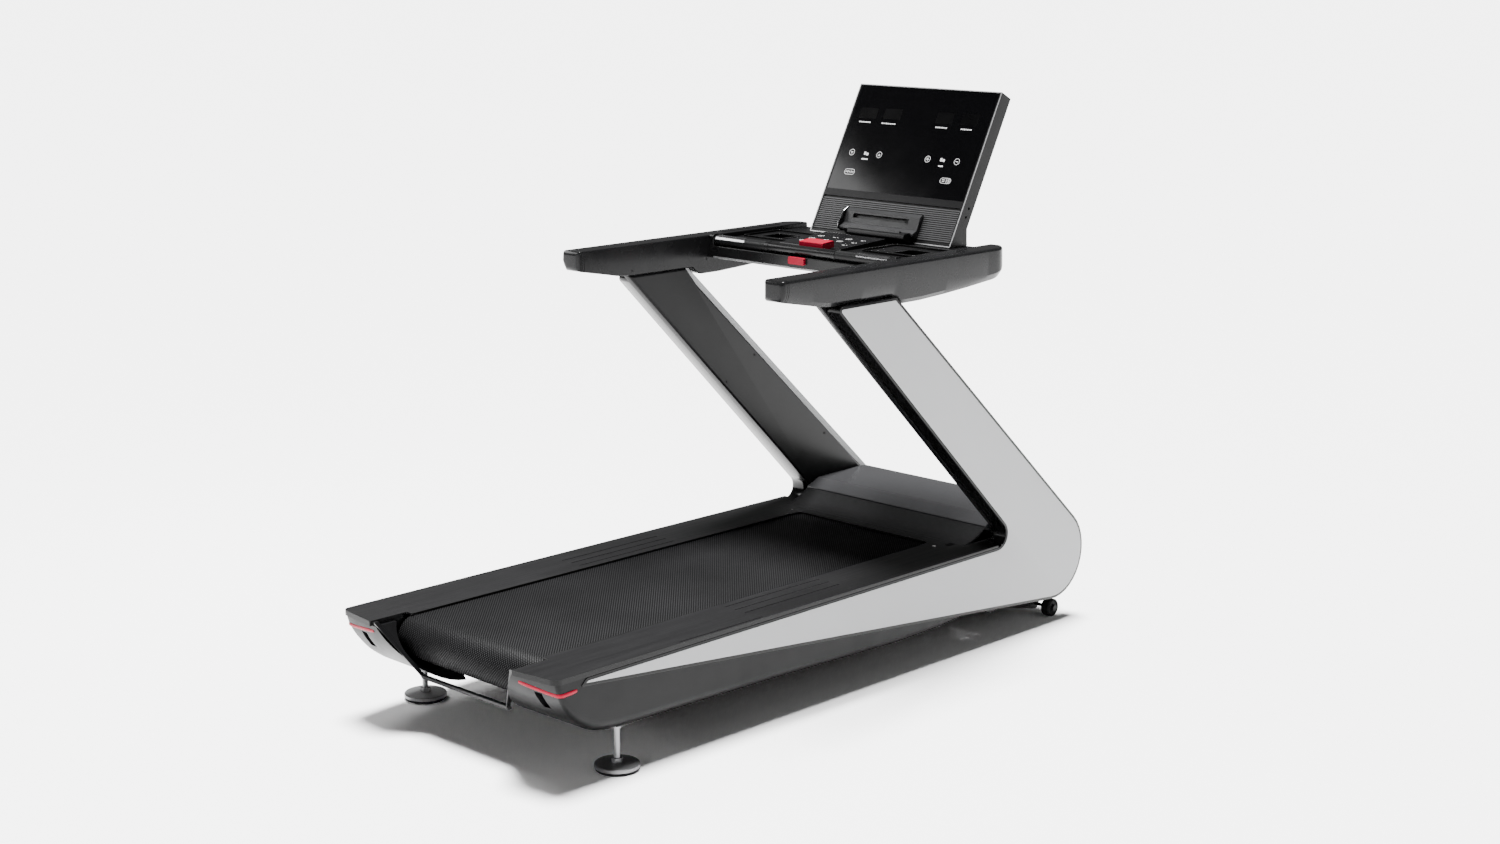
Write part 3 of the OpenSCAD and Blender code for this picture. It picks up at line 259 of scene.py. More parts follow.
MAT = {
    "silver": moulded("silver_paint", (0.270, 0.272, 0.276), 0.45, vary=0.012, spread=0.02, grain=2600,
                      bump=0.02, distance=0.0001, metallic=0.25, large=1.2, shine=0.25),
    "edging": moulded("dark_edging", (0.0030, 0.0030, 0.0033), 0.34, vary=0.10, grain=1100, wear=0.20,
                      shine=0.14),
    "rim": moulded("gloss_rim", (0.0016, 0.0016, 0.0017), 0.16, vary=0.05, spread=0.01, grain=900,
                   bump=0.003, shine=0.16),
    "charcoal": moulded("charcoal_plastic", (0.0032, 0.0032, 0.0034), 0.38, vary=0.06, grain=1300,
                        bump=0.05, wear=0.25, large=3.0, shine=0.10),
    "handrail": moulded("handrail_plastic", (0.0050, 0.0050, 0.0053), 0.26, vary=0.04, grain=900,
                        bump=0.004, wear=0.15, large=3.0, shine=0.12),
    "inner": moulded("inner_cover_plastic", (0.0026, 0.0026, 0.0028), 0.30, vary=0.03, spread=0.02,
                     grain=900, bump=0.003, wear=0.05, large=1.0, shine=0.12),
    "desk": moulded("desk_plastic", (0.0040, 0.0040, 0.0042), 0.26, vary=0.04, grain=1500, bump=0.02,
                    wear=0.25, shine=0.16),
    # hood: its own dark grey, raised lighter as a painted reflection of the white surroundings on its top
    "hood": moulded("hood_grey_and_sheen", (0.0260, 0.0260, 0.0272), 0.20, vary=0.04, grain=1700, bump=0.015,
                    wear=0.2, large=2.0, shine=0.18),
    "ramp": rail_material(),
    "grille": grille_painted_rib_shade(),
    "holder": moulded("holder_plastic", (0.0180, 0.0180, 0.0187), 0.34, vary=0.06, grain=1500,
                      bump=0.05, wear=0.3, shine=0.14),
    "frame": moulded("powder_coat", (0.0018, 0.0018, 0.0020), 0.42, vary=0.2, grain=520, bump=0.35,
                     distance=0.0003, wear=0.3, shine=0.12),
    "rubber": moulded("matt_rubber", (0.003, 0.003, 0.0032), 0.72, vary=0.2, grain=700, bump=0.3,
                      wear=0.25, shine=0.15),
    "grip": moulded("grip_rubber", (0.0022, 0.0022, 0.0024), 0.45, vary=0.1, grain=1500, bump=0.25,
                    wear=0.1, shine=0.14),
    "red": moulded("accent_red", (0.25, 0.0026, 0.0180), 0.32, vary=0.04, grain=900, bump=0.03,
                   shine=0.10),
    "glass": moulded("display_glass", (0.0008, 0.0008, 0.0010), 0.12, vary=0.10, spread=0.02, grain=300,
                     bump=0.003, large=1.5, shine=0.15),
    "keys": moulded("key_membrane", (0.0022, 0.0022, 0.0025), 0.28, vary=0.1, grain=1300, bump=0.04,
                    shine=0.16),
    "white": moulded("printed_mark", (0.50, 0.50, 0.50), 0.5, vary=0.03, grain=900, bump=0.02, shine=0.2),
    "led": moulded("dark_window", (0.0003, 0.0003, 0.0004), 0.30, vary=0.2, grain=300, bump=0.01,
                   shine=0.05),
    "bezel": moulded("bezel_metal", (0.200, 0.200, 0.203), 0.34, vary=0.05, metallic=0.5, grain=900,
                     bump=0.03),
    "steel": brushed("turned_steel", (0.30, 0.31, 0.32), 0.30, 0),
    "rod": brushed("screw_steel", (0.30, 0.31, 0.32), 0.25, 1),
    "foot": brushed("foot_plate_steel", (0.200, 0.200, 0.205), 0.34, 2, metallic=0.7),
    "pulse": brushed("pulse_plate_steel", (0.300, 0.300, 0.306), 0.20, 0),
    "chrome": brushed("bright_ring", (0.40, 0.40, 0.42), 0.14, 0, bump=0.01, spread=0.03),
    "motor": moulded("motor_enamel", (0.004, 0.004, 0.0045), 0.38, vary=0.15, grain=600, bump=0.2,
                     wear=0.4, shine=0.2),
    "board": board_material(),
    "wood": wood_material(),
    "belt": belt_material(),
    "floor": moulded("studio_floor", (0.96, 0.96, 0.96), 0.6, vary=0.003, spread=0.02, grain=120,
                     bump=0.005, large=0.6, shine=0.1),
}

# look of each CAD node
NODE_MAT = {
    "base_frame": "frame", "deck_board": "wood", "deck_cushions": "rubber", "front_roller": "steel",
    "rear_roller": "steel", "roller_pulley": "motor", "roller_axles": "steel", "roller_bearings": "chrome",
    "tension_bolts": "rod", "drive_motor": "motor", "motor_flywheel": "steel", "drive_belt": "rubber",
    "motor_controller": "board", "lift_frame": "frame", "lift_actuator": "motor", "lift_rod": "rod",
    "front_wheel_left": "rubber", "front_wheel_right": "rubber", "rear_foot_left": "foot",
    "rear_foot_right": "foot", "foot_pad_left": "rubber", "foot_pad_right": "rubber", "foot_nuts": "foot",
    "foot_rail_left": "ramp", "foot_rail_right": "ramp", "rear_trim": "edging", "side_panel_left": "silver",
    "side_panel_right": "silver", "panel_edges": "edging", "upright_frame": "frame",
    "upright_cover_left": "inner", "upright_cover_right": "inner", "cover_screws": "frame",
    "hood_ramp": "ramp", "motor_hood": "hood", "front_bumper": "charcoal", "power_inlet": "frame",
    "power_switch": "red", "handrail_ends": "handrail", "desk_pan": "desk", "desk_top": "desk",
    "keypad_panel": "keys", "crossbar": "desk", "bar_grips": "grip", "pulse_plates": "pulse",
    "estop_button": "red", "safety_key": "red", "console_shell": "charcoal", "console_glass": "glass",
    "speaker_grille": "grille", "tablet_holder": "holder", "console_neck": "charcoal",
    "running_belt": "belt", "rear_cap_left": "charcoal", "rear_cap_right": "charcoal",
    "side_cover_left": "charcoal", "side_cover_right": "charcoal", "accent_strips": "red",
    "handrail_left": "handrail", "handrail_right": "handrail",
}


def paint(obj, key):
    """Gives the object one material of MAT."""
    obj.data.materials.clear()
    obj.data.materials.append(MAT[key])


def soften(obj, width, segments=2, angle=32):
    """Joins split corners of a mesh, then rounds its sharp edges a little."""
    weld = obj.modifiers.new("join", "WELD")
    weld.merge_threshold = 0.00002
    bevel = obj.modifiers.new("edges", "BEVEL")
    bevel.width = width
    bevel.segments = segments
    bevel.limit_method = "ANGLE"
    bevel.angle_limit = math.radians(angle)
    bevel.miter_outer = "MITER_ARC"
    bevel.harden_normals = False
    shade = obj.modifiers.new("shade", "WEIGHTED_NORMAL")
    shade.keep_sharp = False
    shade.weight = 80


# rounding of the edges of CAD nodes that still show
EDGE_WIDTH = {
    "side_panel_left": 0.0012, "side_panel_right": 0.0012, "foot_rail_left": 0.0016,
    "foot_rail_right": 0.0016, "motor_hood": 0.0015, "desk_top": 0.0012, "desk_pan": 0.0012,
    "keypad_panel": 0.001, "console_shell": 0.0015, "console_neck": 0.0015,
    "upright_cover_left": 0.0015, "upright_cover_right": 0.0015, "estop_button": 0.0012,
    "rear_trim": 0.001, "base_frame": 0.001, "safety_key": 0.001, "rear_foot_left": 0.001,
    "rear_foot_right": 0.001, "tablet_holder": 0.001, "handrail_ends": 0.0015, "lift_frame": 0.001,
}
for key, look in NODE_MAT.items():
    paint(nodes[key], look)
for key, width in EDGE_WIDTH.items():
    soften(nodes[key], width)


# ---------------------------------------------------------------- mesh helpers
def settle(mesh, weld=True):
    """Welds doubled points and turns every face outwards."""
    bm = bmesh.new()
    bm.from_mesh(mesh)
    if weld:
        bmesh.ops.remove_doubles(bm, verts=bm.verts, dist=WELD)
    bmesh.ops.recalc_face_normals(bm, faces=bm.faces)
    bm.to_mesh(mesh)
    bm.free()


def shade_by_angle(mesh, degrees):
    """Smooth shading, with edges sharper than the angle kept sharp."""
    for poly in mesh.polygons:
        poly.use_smooth = True
    mesh.set_sharp_from_angle(angle=math.radians(degrees))


def dress(obj, mat, smooth, replaced=()):
    """Links a new object, paints it and says what it is in the frame."""
    bpy.context.scene.collection.objects.link(obj)
    paint(obj, mat)
    shade_by_angle(obj.data, smooth)
    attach(obj, BASE)
    if replaced:
        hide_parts(*replaced)
    return obj


def build(name, verts, faces, mat, smooth, replaced=()):
    """A dressed object from points and faces; smooth is the shading angle in degrees."""
    mesh = bpy.data.meshes.new(name)
    mesh.from_pydata([tuple(v) for v in verts], [], faces)
    settle(mesh)
    return dress(bpy.data.objects.new(name, mesh), mat, smooth, replaced)


def loft(rings):
    """A closed solid through closed rings of equal length; returns (verts, faces)."""
    n = len(rings[0])
    last = (len(rings) - 1) * n
    verts = [p for ring in rings for p in ring]
    faces = []
    for i in range(len(rings) - 1):
        for j in range(n):
            k = (j + 1) % n
            faces.append((i * n + j, i * n + k, (i + 1) * n + k, (i + 1) * n + j))
    faces.append(tuple(range(n - 1, -1, -1)))
    faces.append(tuple(last + j for j in range(n)))
    return verts, faces


def round_poly(corners, steps):
    """Outline points of corners (a, b, radius), with so many steps round each bend."""
    out = []
    n = len(corners)
    for i in range(n):
        p = Vector(corners[i][:2])
        r = corners[i][2]
        a = Vector(corners[i - 1][:2])
        b = Vector(corners[(i + 1) % n][:2])
        if r <= 0:
            out.append(p)
            continue
        u, v = (a - p).normalized(), (b - p).normalized()
        half = math.acos(max(-1, min(1, u.dot(v)))) / 2
        centre = p + (u + v).normalized() * r / math.sin(half)
        s = p + u * r / math.tan(half) - centre
        bend = math.pi - 2 * half
        way = 1 if (u.x * v.y - u.y * v.x) < 0 else -1
        for k in range(steps + 1):
            t = way * bend * k / steps
            cos_t, sin_t = math.cos(t), math.sin(t)
            out.append(centre + Vector((s.x * cos_t - s.y * sin_t, s.x * sin_t + s.y * cos_t)))
    return out


def path_at(points, t):
    """Straight-line interpolation of (key, value) pairs."""
    for a, b in zip(points, points[1:]):
        if t <= b[0]:
            f = max(0, min(1, (t - a[0]) / (b[0] - a[0])))
            return a[1] + (b[1] - a[1]) * f
    return points[-1][1]


def sided(verts, side):
    """The points as they are on the right, mirrored across x = 0 on the left."""
    return [(side * v[0], v[1], v[2]) for v in verts]


def box_outline(w, h, r, steps=6):
    """A rounded rectangle about the origin."""
    corners = [(-w / 2, -h / 2, r), (w / 2, -h / 2, r), (w / 2, h / 2, r), (-w / 2, h / 2, r)]
    return round_poly(corners, steps)


def slab(centre, size, radius, thick, turn, mat, name, bevel=0.0):
    """A rounded plate, width x height in its own plane, standing out along its local z."""
    w, h = size[0] / 2, size[1] / 2
    ring = box_outline(size[0], size[1], min(radius, w * 0.999, h * 0.999))
    levels = [(1, 1, 0), (1, 1, thick - bevel)]
    if bevel:
        levels.append((1 - bevel / w, 1 - bevel / h, thick))
    rings = [[turn @ Vector((p.x * a, p.y * b, z)) + centre for p in ring] for a, b, z in levels]
    verts, faces = loft(rings)
    build(name, verts, faces, mat, 40)


def ring_plate(name, outer, inner, thick, turn, centre, mat):
    """A flat closed ring between two outlines of equal length."""
    loops = []
    for pts, z in ((outer, 0), (outer, thick), (inner, thick), (inner, 0)):
        loops.append([turn @ Vector((p[0], p[1], z)) + centre for p in pts])
    n = len(outer)
    verts = [p for ring in loops for p in ring]
    faces = []
    for i in range(4):
        for j in range(n):
            k, m = (j + 1) % n, (i + 1) % 4
            faces.append((i * n + j, i * n + k, m * n + k, m * n + j))
    return build(name, verts, faces, mat, 30)


# ---------------------------------------------------------------- running belt
ROLLER_R = 0.055
BELT_T = 0.003
BELT_HALF = 0.280
BELT_EDGE = 0.0008  # bevel of the belt's edges
ROLLER_Z = DECK_Z - 0.007 - BELT_T - ROLLER_R
REAR_ROLLER_Y = REAR_Y + 0.138
FRONT_ROLLER_Y = FRONT_Y - 0.470
BELT_ARC = 40


def belt_path(r):
    """(y, z) points round both rollers at radius r from their axes."""
    points = []
    for centre, start in ((REAR_ROLLER_Y, math.pi / 2), (FRONT_ROLLER_Y, -math.pi / 2)):
        for k in range(BELT_ARC + 1):
            t = start + math.pi * k / BELT_ARC
            points.append((centre + r * math.cos(t), ROLLER_Z + r * math.sin(t)))
    return points


def belt():
    """The belt as one closed band, with the UV in metres across and along it."""
    out, inn = belt_path(ROLLER_R + BELT_T), belt_path(ROLLER_R)
    n = len(out)
    half = [(BELT_HALF - BELT_EDGE, 0), (BELT_HALF, 0.3), (BELT_HALF, 1)]
    section = [(-x, depth) for x, depth in reversed(half)] + half
    verts, uvs = [], []
    run = 0
    for i in range(n + 1):
        a, b = out[i % n], inn[i % n]
        if i:
            run += math.dist(out[i % n], out[i - 1])
        for x, depth in section:
            verts.append((x, a[0] + (b[0] - a[0]) * depth, a[1] + (b[1] - a[1]) * depth))
            uvs.append((x, run))
    m = len(section)
    faces = []
    for i in range(n):
        for j in range(m):
            k = (j + 1) % m
            faces.append((i * m + j, i * m + k, (i + 1) * m + k, (i + 1) * m + j))
    mesh = bpy.data.meshes.new("belt_surface")
    mesh.from_pydata(verts, [], faces)
    layer = mesh.uv_layers.new(name="weave")
    for corner in mesh.loops:
        layer.data[corner.index].uv = uvs[corner.vertex_index]
    settle(mesh)
    dress(bpy.data.objects.new("belt_surface", mesh), "belt", 50, ["running_belt"])


belt()

# ---------------------------------------------------------------- rear caps and side covers
COVER_X = 0.4415
COVER_IN = 0.405  # inner side of the lower covers
SPLIT_Y = -0.900  # joint between a rear cap and a lower cover
LID_Z = 0.2912
UNDERSIDE = [  # of the hull from the lid to the front, (y, z)
    (-1.103, 0.2905), (-1.0965, 0.270), (-1.081, 0.240), (-1.056, 0.208), (-1.030, 0.182), (-1.000, 0.160),
    (-0.968, 0.142), (-0.935, 0.1305), (-0.900, 0.1245), (-0.860, 0.122), (-0.750, 0.1195), (-0.591, 0.117),
    (-0.283, 0.112), (0.000, 0.104), (0.224, 0.098), (0.420, 0.105), (0.540, 0.1185),
]
SLANT = (0.180, 0.161, 0.295, 0.306)  # inner edge of the caps, from (x, z) to (x, z)
# radius of the corner between the hull's underside and its side, (y, radius)
HULL_ROUND = [
    (-1.2, 0.010), (-1.10, 0.011), (-1.06, 0.020), (-1.00, 0.032), (-0.90, 0.036), (0.2, 0.030),
    (0.6, 0.012),
]
# upper edge of the hull's side: under the lid, then behind the silver panel, (y, z)
SIDE_TOP = [(-1.2, LID_Z), (-0.985, LID_Z), (-0.80, 0.262), (0.55, 0.150), (0.9, 0.10)]
CURVED_STEPS = 11  # points of the underside after which it is nearly straight


def dense(points):
    """The same line with more points where it curves."""
    out = []
    last = len(points) - 1
    for i in range(last):
        p0 = Vector(points[max(0, i - 1)])
        p1, p2 = Vector(points[i]), Vector(points[i + 1])
        p3 = Vector(points[min(last, i + 2)])
        steps = 3 if i < CURVED_STEPS else 1
        for k in range(steps):
            t = k / steps
            square = (2 * p0 - 5 * p1 + 4 * p2 - p3) * t * t
            cube = (3 * p1 - p0 - 3 * p2 + p3) * t ** 3
            q = 0.5 * ((2 * p1) + (p2 - p0) * t + square + cube)
            out.append((q.x, q.y))
    out.append(points[-1])
    return out


def normals(points):
    """The inward direction at each point of the underside."""
    out = []
    for i in range(len(points)):
        a = Vector(points[max(0, i - 1)])
        b = Vector(points[min(len(points) - 1, i + 1)])
        d = (b - a).normalized()
        out.append(Vector((-d.y, d.x)))
    return out


HULL = dense(UNDERSIDE)
HULL_IN = normals(HULL)
SPLIT = min(range(len(HULL)), key=lambda i: abs(HULL[i][0] - SPLIT_Y))


def hull_round(y):
    """Radius of the hull's lower corner at y."""
    return path_at(HULL_ROUND, y)


def side_top(y):
    """Height of the upper edge of the hull's side at y."""
    return path_at(SIDE_TOP, y)


def slant_x(z):
    """Inner edge of a rear cap at height z."""
    x0, z0, x1, z1 = SLANT
    return x0 + (x1 - x0) * (z - z0) / (z1 - z0)


def cover_x(z):
    """Inner edge of a lower cover, the same at every height."""
    return COVER_IN


def plan_skew(x, y):
    """The rear faces sweep forward a little towards the sides."""
    outward = max(0, (x - 0.18) / 0.26) ** 1.6
    rearward = max(0, min(1, (-0.95 - y) / 0.15))
    return 0.018 * outward * rearward


def prism(name, outline, x0, x1, side, mat, slot, bevel=0.0):
    """A closed prism along X from an outline of (y, z) points."""
    verts, faces = loft([[(side * x, p[0], p[1]) for p in outline] for x in (x0, x1)])
    obj = build(name, verts, faces, mat, 35)
    if bevel:
        soften(obj, bevel, 2, 30)
    return obj


def carve(obj, *cutters):
    """Cuts the given solids out of obj and keeps the result as plain mesh."""
    for c in cutters:
        m = obj.modifiers.new("cut", "BOOLEAN")
        m.operation = "DIFFERENCE"
        m.solver = "EXACT"
        m.object = c
    bpy.context.view_layer.update()
    mesh = bpy.data.meshes.new_from_object(obj.evaluated_get(bpy.context.evaluated_depsgraph_get()))
    obj.modifiers.clear()
    obj.data = mesh
    for c in cutters:
        bpy.data.objects.remove(c)
    shade_by_angle(mesh, 35)


def tool(rings):
    """A solid through the rings, to cut with."""
    verts, faces = loft(rings)
    mesh = bpy.data.meshes.new("tool")
    mesh.from_pydata(verts, [], faces)
    settle(mesh, weld=False)
    obj = bpy.data.objects.new("tool", mesh)
    bpy.context.scene.collection.objects.link(obj)
    return obj


def box_tool(xs, ys, zs):
    """A box between two values of each axis."""
    ring = [(xs[0], ys[0]), (xs[1], ys[0]), (xs[1], ys[1]), (xs[0], ys[1])]
    return tool([[(x, y, z) for x, y in ring] for z in zs])


def rod_tool(y, z, r, x0, x1):
    """A round bar along X."""
    parts = 64
    turns = [2 * math.pi * k / parts for k in range(parts)]
    return tool([[(x, y + r * math.cos(t), z + r * math.sin(t)) for t in turns] for x in (x0, x1)])


def hull_solid(first, last, inner):
    """Closed rings of the hull between two of its points; inner gives the inner edge at a height."""
    rings = []
    for i in range(first, last + 1):
        n = HULL_IN[i]
        base = Vector(HULL[i])
        r = hull_round(base.x)
        x_in = inner(base.y)
        ring = [(x_in + (COVER_X - r - x_in) * k / 4, base.x, base.y) for k in range(5)]
        for k in range(1, 11):
            t = math.pi / 2 * k / 10
            q = base + n * r * (1 - math.cos(t))
            ring.append((COVER_X - r + r * math.sin(t), q.x, min(q.y, side_top(q.x) - 0.0004)))
        q = base + n * r
        top = side_top(q.x)
        edge = max(top, base.y + 0.0006)
        ring.append((COVER_X, q.x, edge))
        ring.append((inner(top), base.x, edge))
        rings.append([(x, y + plan_skew(x, y), z) for x, y, z in ring])
    return rings


for word, side in SIDES:
    verts, faces = loft(hull_solid(0, SPLIT, slant_x))
    cap = build(f"end_cap_{word}", sided(verts, side), faces, "charcoal", 35,
                [f"rear_cap_{word}"])
    carve(
        cap,
        rod_tool(REAR_ROLLER_Y, ROLLER_Z, 0.076, *sorted((0.0, side * 0.2975))),
        box_tool(sorted((0.0, side * 0.430)), (REAR_ROLLER_Y + 0.004, -0.80), (0.1652, 0.33)),
        box_tool(sorted((side * 0.348, side * 0.375)), (-1.2, -1.030), (0.207, 0.256)),
    )
    verts, faces = loft(hull_solid(SPLIT, len(HULL) - 1, cover_x))
    build(f"lower_cover_{word}", sided(verts, side), faces, "charcoal", 35,
          [f"side_cover_{word}"])


def hull_at(z):
    """Point and inward direction on the hull's rear profile at height z."""
    for i in range(len(HULL) - 1):
        (y0, z0), (y1, z1) = HULL[i], HULL[i + 1]
        if z1 <= z <= z0:
            f = (z0 - z) / (z0 - z1)
            return Vector((y0 + (y1 - y0) * f, z)), HULL_IN[i].lerp(HULL_IN[i + 1], f).normalized()
    return Vector(HULL[0]), HULL_IN[0]


ACCENT_IN = 0.3015  # where a red strip starts beside the rear trim
ACCENT_END_Y = -1.030
ACCENT_Z = (0.2735, 0.2625)  # at the rear trim and at the corner
ACCENT_THICK = 0.0022
ACCENT_HIGH = 0.0052  # half its height


def accent():
    """The red strip below the lid, round the corner onto the side."""
    path, out = [], []
    r = hull_round(-1.09)
    z_in, z_out = ACCENT_Z
    steps = 10
    for k in range(steps + 1):
        f = k / steps
        x = ACCENT_IN + (COVER_X - r - ACCENT_IN) * f
        z = z_in + (z_out - z_in) * min(1, f * 1.15)
        p = hull_at(z)[0]
        path.append(Vector((x, p.x + plan_skew(x, p.x), z)))
        out.append(Vector((0.12, -1, 0)).normalized())
    p, n = hull_at(z_out)
    for k in range(1, 9):
        t = math.pi / 2 * k / 8
        q = p + n * r * (1 - math.cos(t))
        x = COVER_X - r + r * math.sin(t)
        path.append(Vector((x, q.x + plan_skew(x, q.x), z_out)))
        out.append(Vector((math.sin(t), -math.cos(t), 0)).normalized())
    q = p + n * r
    for k in range(1, 5):
        y = q.x + (ACCENT_END_Y - q.x) * k / 4
        path.append(Vector((COVER_X, y + plan_skew(COVER_X, y), z_out + 0.0006 * k)))
        out.append(Vector((1, 0, 0)))
    thick, high = ACCENT_THICK, ACCENT_HIGH
    profile = [(-0.004, -high), (thick * 0.4, -high), (thick, -high * 0.7), (thick * 1.15, 0),
               (thick, high * 0.7), (thick * 0.4, high), (-0.004, high)]
    rings = []
    for i, (p, o) in enumerate(zip(path, out)):
        at_end = i in (0, len(path) - 1)
        wide, tall = (0.45, 0.75) if at_end else (1.0, 1.0)
        ring = []
        for a, b in profile:
            ring.append(p + o * a * (wide if a > 0 else 1) + Vector((0, 0, 1)) * b * tall)
        rings.append(ring)
    return loft(rings)


for word, side in SIDES:
    verts, faces = accent()
    build(f"accent_strip_{word}", sided(verts, side), faces, "red", 50, ["accent_strips"])

# ---------------------------------------------------------------- silver panels
PANEL = [
    (REAR_Y + 0.100, DECK_Z - 0.035, 0.004), (FRONT_Y - 0.210, 0.084, 0.3), (FRONT_Y + 0.272, 0.036, 0.143),
    (FRONT_Y - 0.922, 1.122, 0.004), (FRONT_Y - 1.180, 1.122, 0.014),
    (FRONT_Y - 0.341, DECK_Z - 0.006, 0.038), (REAR_Y + 0.122, DECK_Z - 0.014, 0.014),
]


def inset(corners, d):
    """The outline drawn in by d, its radii kept concentric."""
    out = []
    n = len(corners)
    for i in range(n):
        p = Vector(corners[i][:2])
        e = (p - Vector(corners[i - 1][:2])).normalized()
        f = (Vector(corners[(i + 1) % n][:2]) - p).normalized()
        a, b = Vector((-e.y, e.x)), Vector((-f.y, f.x))
        q = p + (a + b) * d / (1 + a.dot(b))
        r = corners[i][2]
        turn = e.x * f.y - e.y * f.x
        out.append((q.x, q.y, 0 if r <= 0 else (max(r - d, 0.0005) if turn > 0 else r + d)))
    return out


def side_plate(name, outline, layers, parts, side, mat, replaced=()):
    """A plate across X; each layer is (how far the outline is drawn in, x)."""
    rings = []
    for d, x in layers:
        rings.append([(side * x, p[0], p[1]) for p in round_poly(inset(outline, d), parts)])
    verts, faces = loft(rings)
    build(name, verts, faces, mat, 30, replaced)


RIM_LAYERS = ((0.0, 0.3945), (0.0, 0.4418), (0.0008, 0.4432), (0.002, 0.4436))
FACE_LAYERS = ((0.0088, 0.4410), (0.0088, 0.4434), (0.0094, 0.4439), (0.0102, 0.4440))
# the silver return on the inner side, seen in front of the dark cover
RETURN = [(1.046, 0.318, 0), (1.0700, 0.3180, 0), (0.1895, 1.1190, 0), (0.150, 1.119, 0)]
RETURN_X = (0.3925, 0.3950)

for word, side in SIDES:
    side_plate(f"panel_rim_{word}", PANEL, RIM_LAYERS, 14, side, "rim",
               [f"side_panel_{word}", "panel_edges"])
    side_plate(f"panel_face_{word}", PANEL, FACE_LAYERS, 14, side, "silver")
    prism(f"panel_return_{word}", round_poly(RETURN, 2), *RETURN_X, side, "silver", "silver_paint")

# ---------------------------------------------------------------- inner covers of the uprights
COVER = [
    (FRONT_Y - 0.347, DECK_Z + 0.0005, 0.004), (FRONT_Y - 0.068, DECK_Z + 0.0005, 0.002),
    (FRONT_Y - 0.903, 1.068, 0.001), (FRONT_Y - 0.949, 1.1235, 0.001), (FRONT_Y - 1.187, 1.1235, 0.001),
]
COVER_LAYERS = ((0.0, 0.3942), (0.0, 0.3775), (0.0010, 0.3735), (0.0035, 0.3712), (0.0075, 0.3703))

for word, side in SIDES:
    side_plate(f"inner_cover_{word}", COVER, COVER_LAYERS, 4, side, "inner",
               [f"upright_cover_{word}"])

# ---------------------------------------------------------------- handrails
ARM_FRONT = FRONT_Y - 0.406
ARM_REAR = ARM_FRONT - 0.980
ARM_IN = 0.3705
TOP_Z = 1.215
ARM_TURN = 0.060  # the outer side rounds in over this length at the front
ARM_STEP = 0.0125
END_R = 0.0125
# underside of a handrail, (y, z)
ARM_LOW = [
    (ARM_REAR, 1.158), (ARM_REAR + 0.110, 1.1375), (ARM_REAR + 0.156, 1.1285), (ARM_REAR + 0.190, 1.1245),
    (ARM_REAR + 0.214, 1.1232), (0.172, 1.1232), (0.190, 1.1215), (0.204, 1.108), (0.218, 1.0985),
    (0.300, 1.0985), (0.413, 1.1040), (0.520, 1.1115), (0.640, 1.1225), (0.668, 1.1290), (0.690, 1.152),
    (ARM_FRONT, 1.172),
]
# crease along the outer side of a handrail, (y, z)
ARM_CREASE = [(ARM_REAR, 1.186), (0.66, 1.136), (ARM_FRONT, 1.150)]


def arm_section(y, shrink):
    """(x, z) points of a right handrail's section at y, drawn in by shrink."""
    low = path_at(ARM_LOW, y)
    crease = max(path_at(ARM_CREASE, y), low + 0.020)
    out = HALF_W
    if y > ARM_FRONT - ARM_TURN:
        k = (y - (ARM_FRONT - ARM_TURN)) / ARM_TURN
        out = HALF_W - ARM_TURN + ARM_TURN * math.sqrt(max(0.0, 1 - k * k))
        out = max(out, HALF_W - ARM_TURN + 0.001)
    inn, top = ARM_IN + shrink, TOP_Z - shrink
    low, out = low + shrink, out - shrink
    r, q = 0.0085, 0.0035
    pts = [(inn + 0.003, low), (out - 0.014, low), (out - 0.0048, low + 0.0125), (out, crease),
           (out - 0.0012, top - r)]
    for k in range(1, 7):
        t = math.pi / 2 * k / 6
        pts.append((out - 0.0012 - r + r * math.cos(t), top - r + r * math.sin(t)))
    for k in range(0, 5):
        t = math.pi / 2 * k / 4
        pts.append((inn + q - q * math.sin(t), top - q + q * math.cos(t)))
    pts.append((inn, low + 0.003))
    return pts


def arm(name, stations, smooth, side, replaced):
    """Part of a handrail through stations of (y, shrink)."""
    verts, faces = loft([[(side * x, y, z) for x, z in arm_section(y, s)] for y, s in stations])
    build(name, verts, faces, "handrail", smooth, [replaced])


SEAM_A, SEAM_B = ARM_REAR + 0.0180, ARM_REAR + 0.0245
END_TURNS = [math.pi / 2 * k / 7 for k in range(8)]
END_STATIONS = [(ARM_REAR + END_R - END_R * math.cos(t), END_R - END_R * math.sin(t)) for t in END_TURNS]
END_STATIONS += [(SEAM_A - 0.0012, 0.0), (SEAM_A - 0.0004, 0.0008)]
SHELL_STATIONS = [
    (SEAM_A - 0.0004, 0.0016), (SEAM_A + 0.0004, 0.0008), (SEAM_A + 0.0010, 0.0), (SEAM_B - 0.0010, 0.0),
    (SEAM_B - 0.0004, 0.0010), (SEAM_B + 0.0004, 0.0010), (SEAM_B + 0.0010, 0.0),
]
y = ARM_REAR + 0.04
while y < ARM_FRONT - ARM_TURN - 0.002:
    SHELL_STATIONS.append((y, 0.0))
    y += ARM_STEP
for k in range(1, 13):
    t = math.pi / 2 * k / 12
    y = ARM_FRONT - ARM_TURN + (ARM_TURN - 0.0005) * math.sin(t)
    SHELL_STATIONS.append((y, 0.004 * max(0, (k - 8) / 4) ** 2))

for word, side in SIDES:
    arm(f"rail_end_{word}", END_STATIONS, 32, side, "handrail_ends")
    arm(f"handrail_shell_{word}", SHELL_STATIONS, 28, side, f"handrail_{word}")

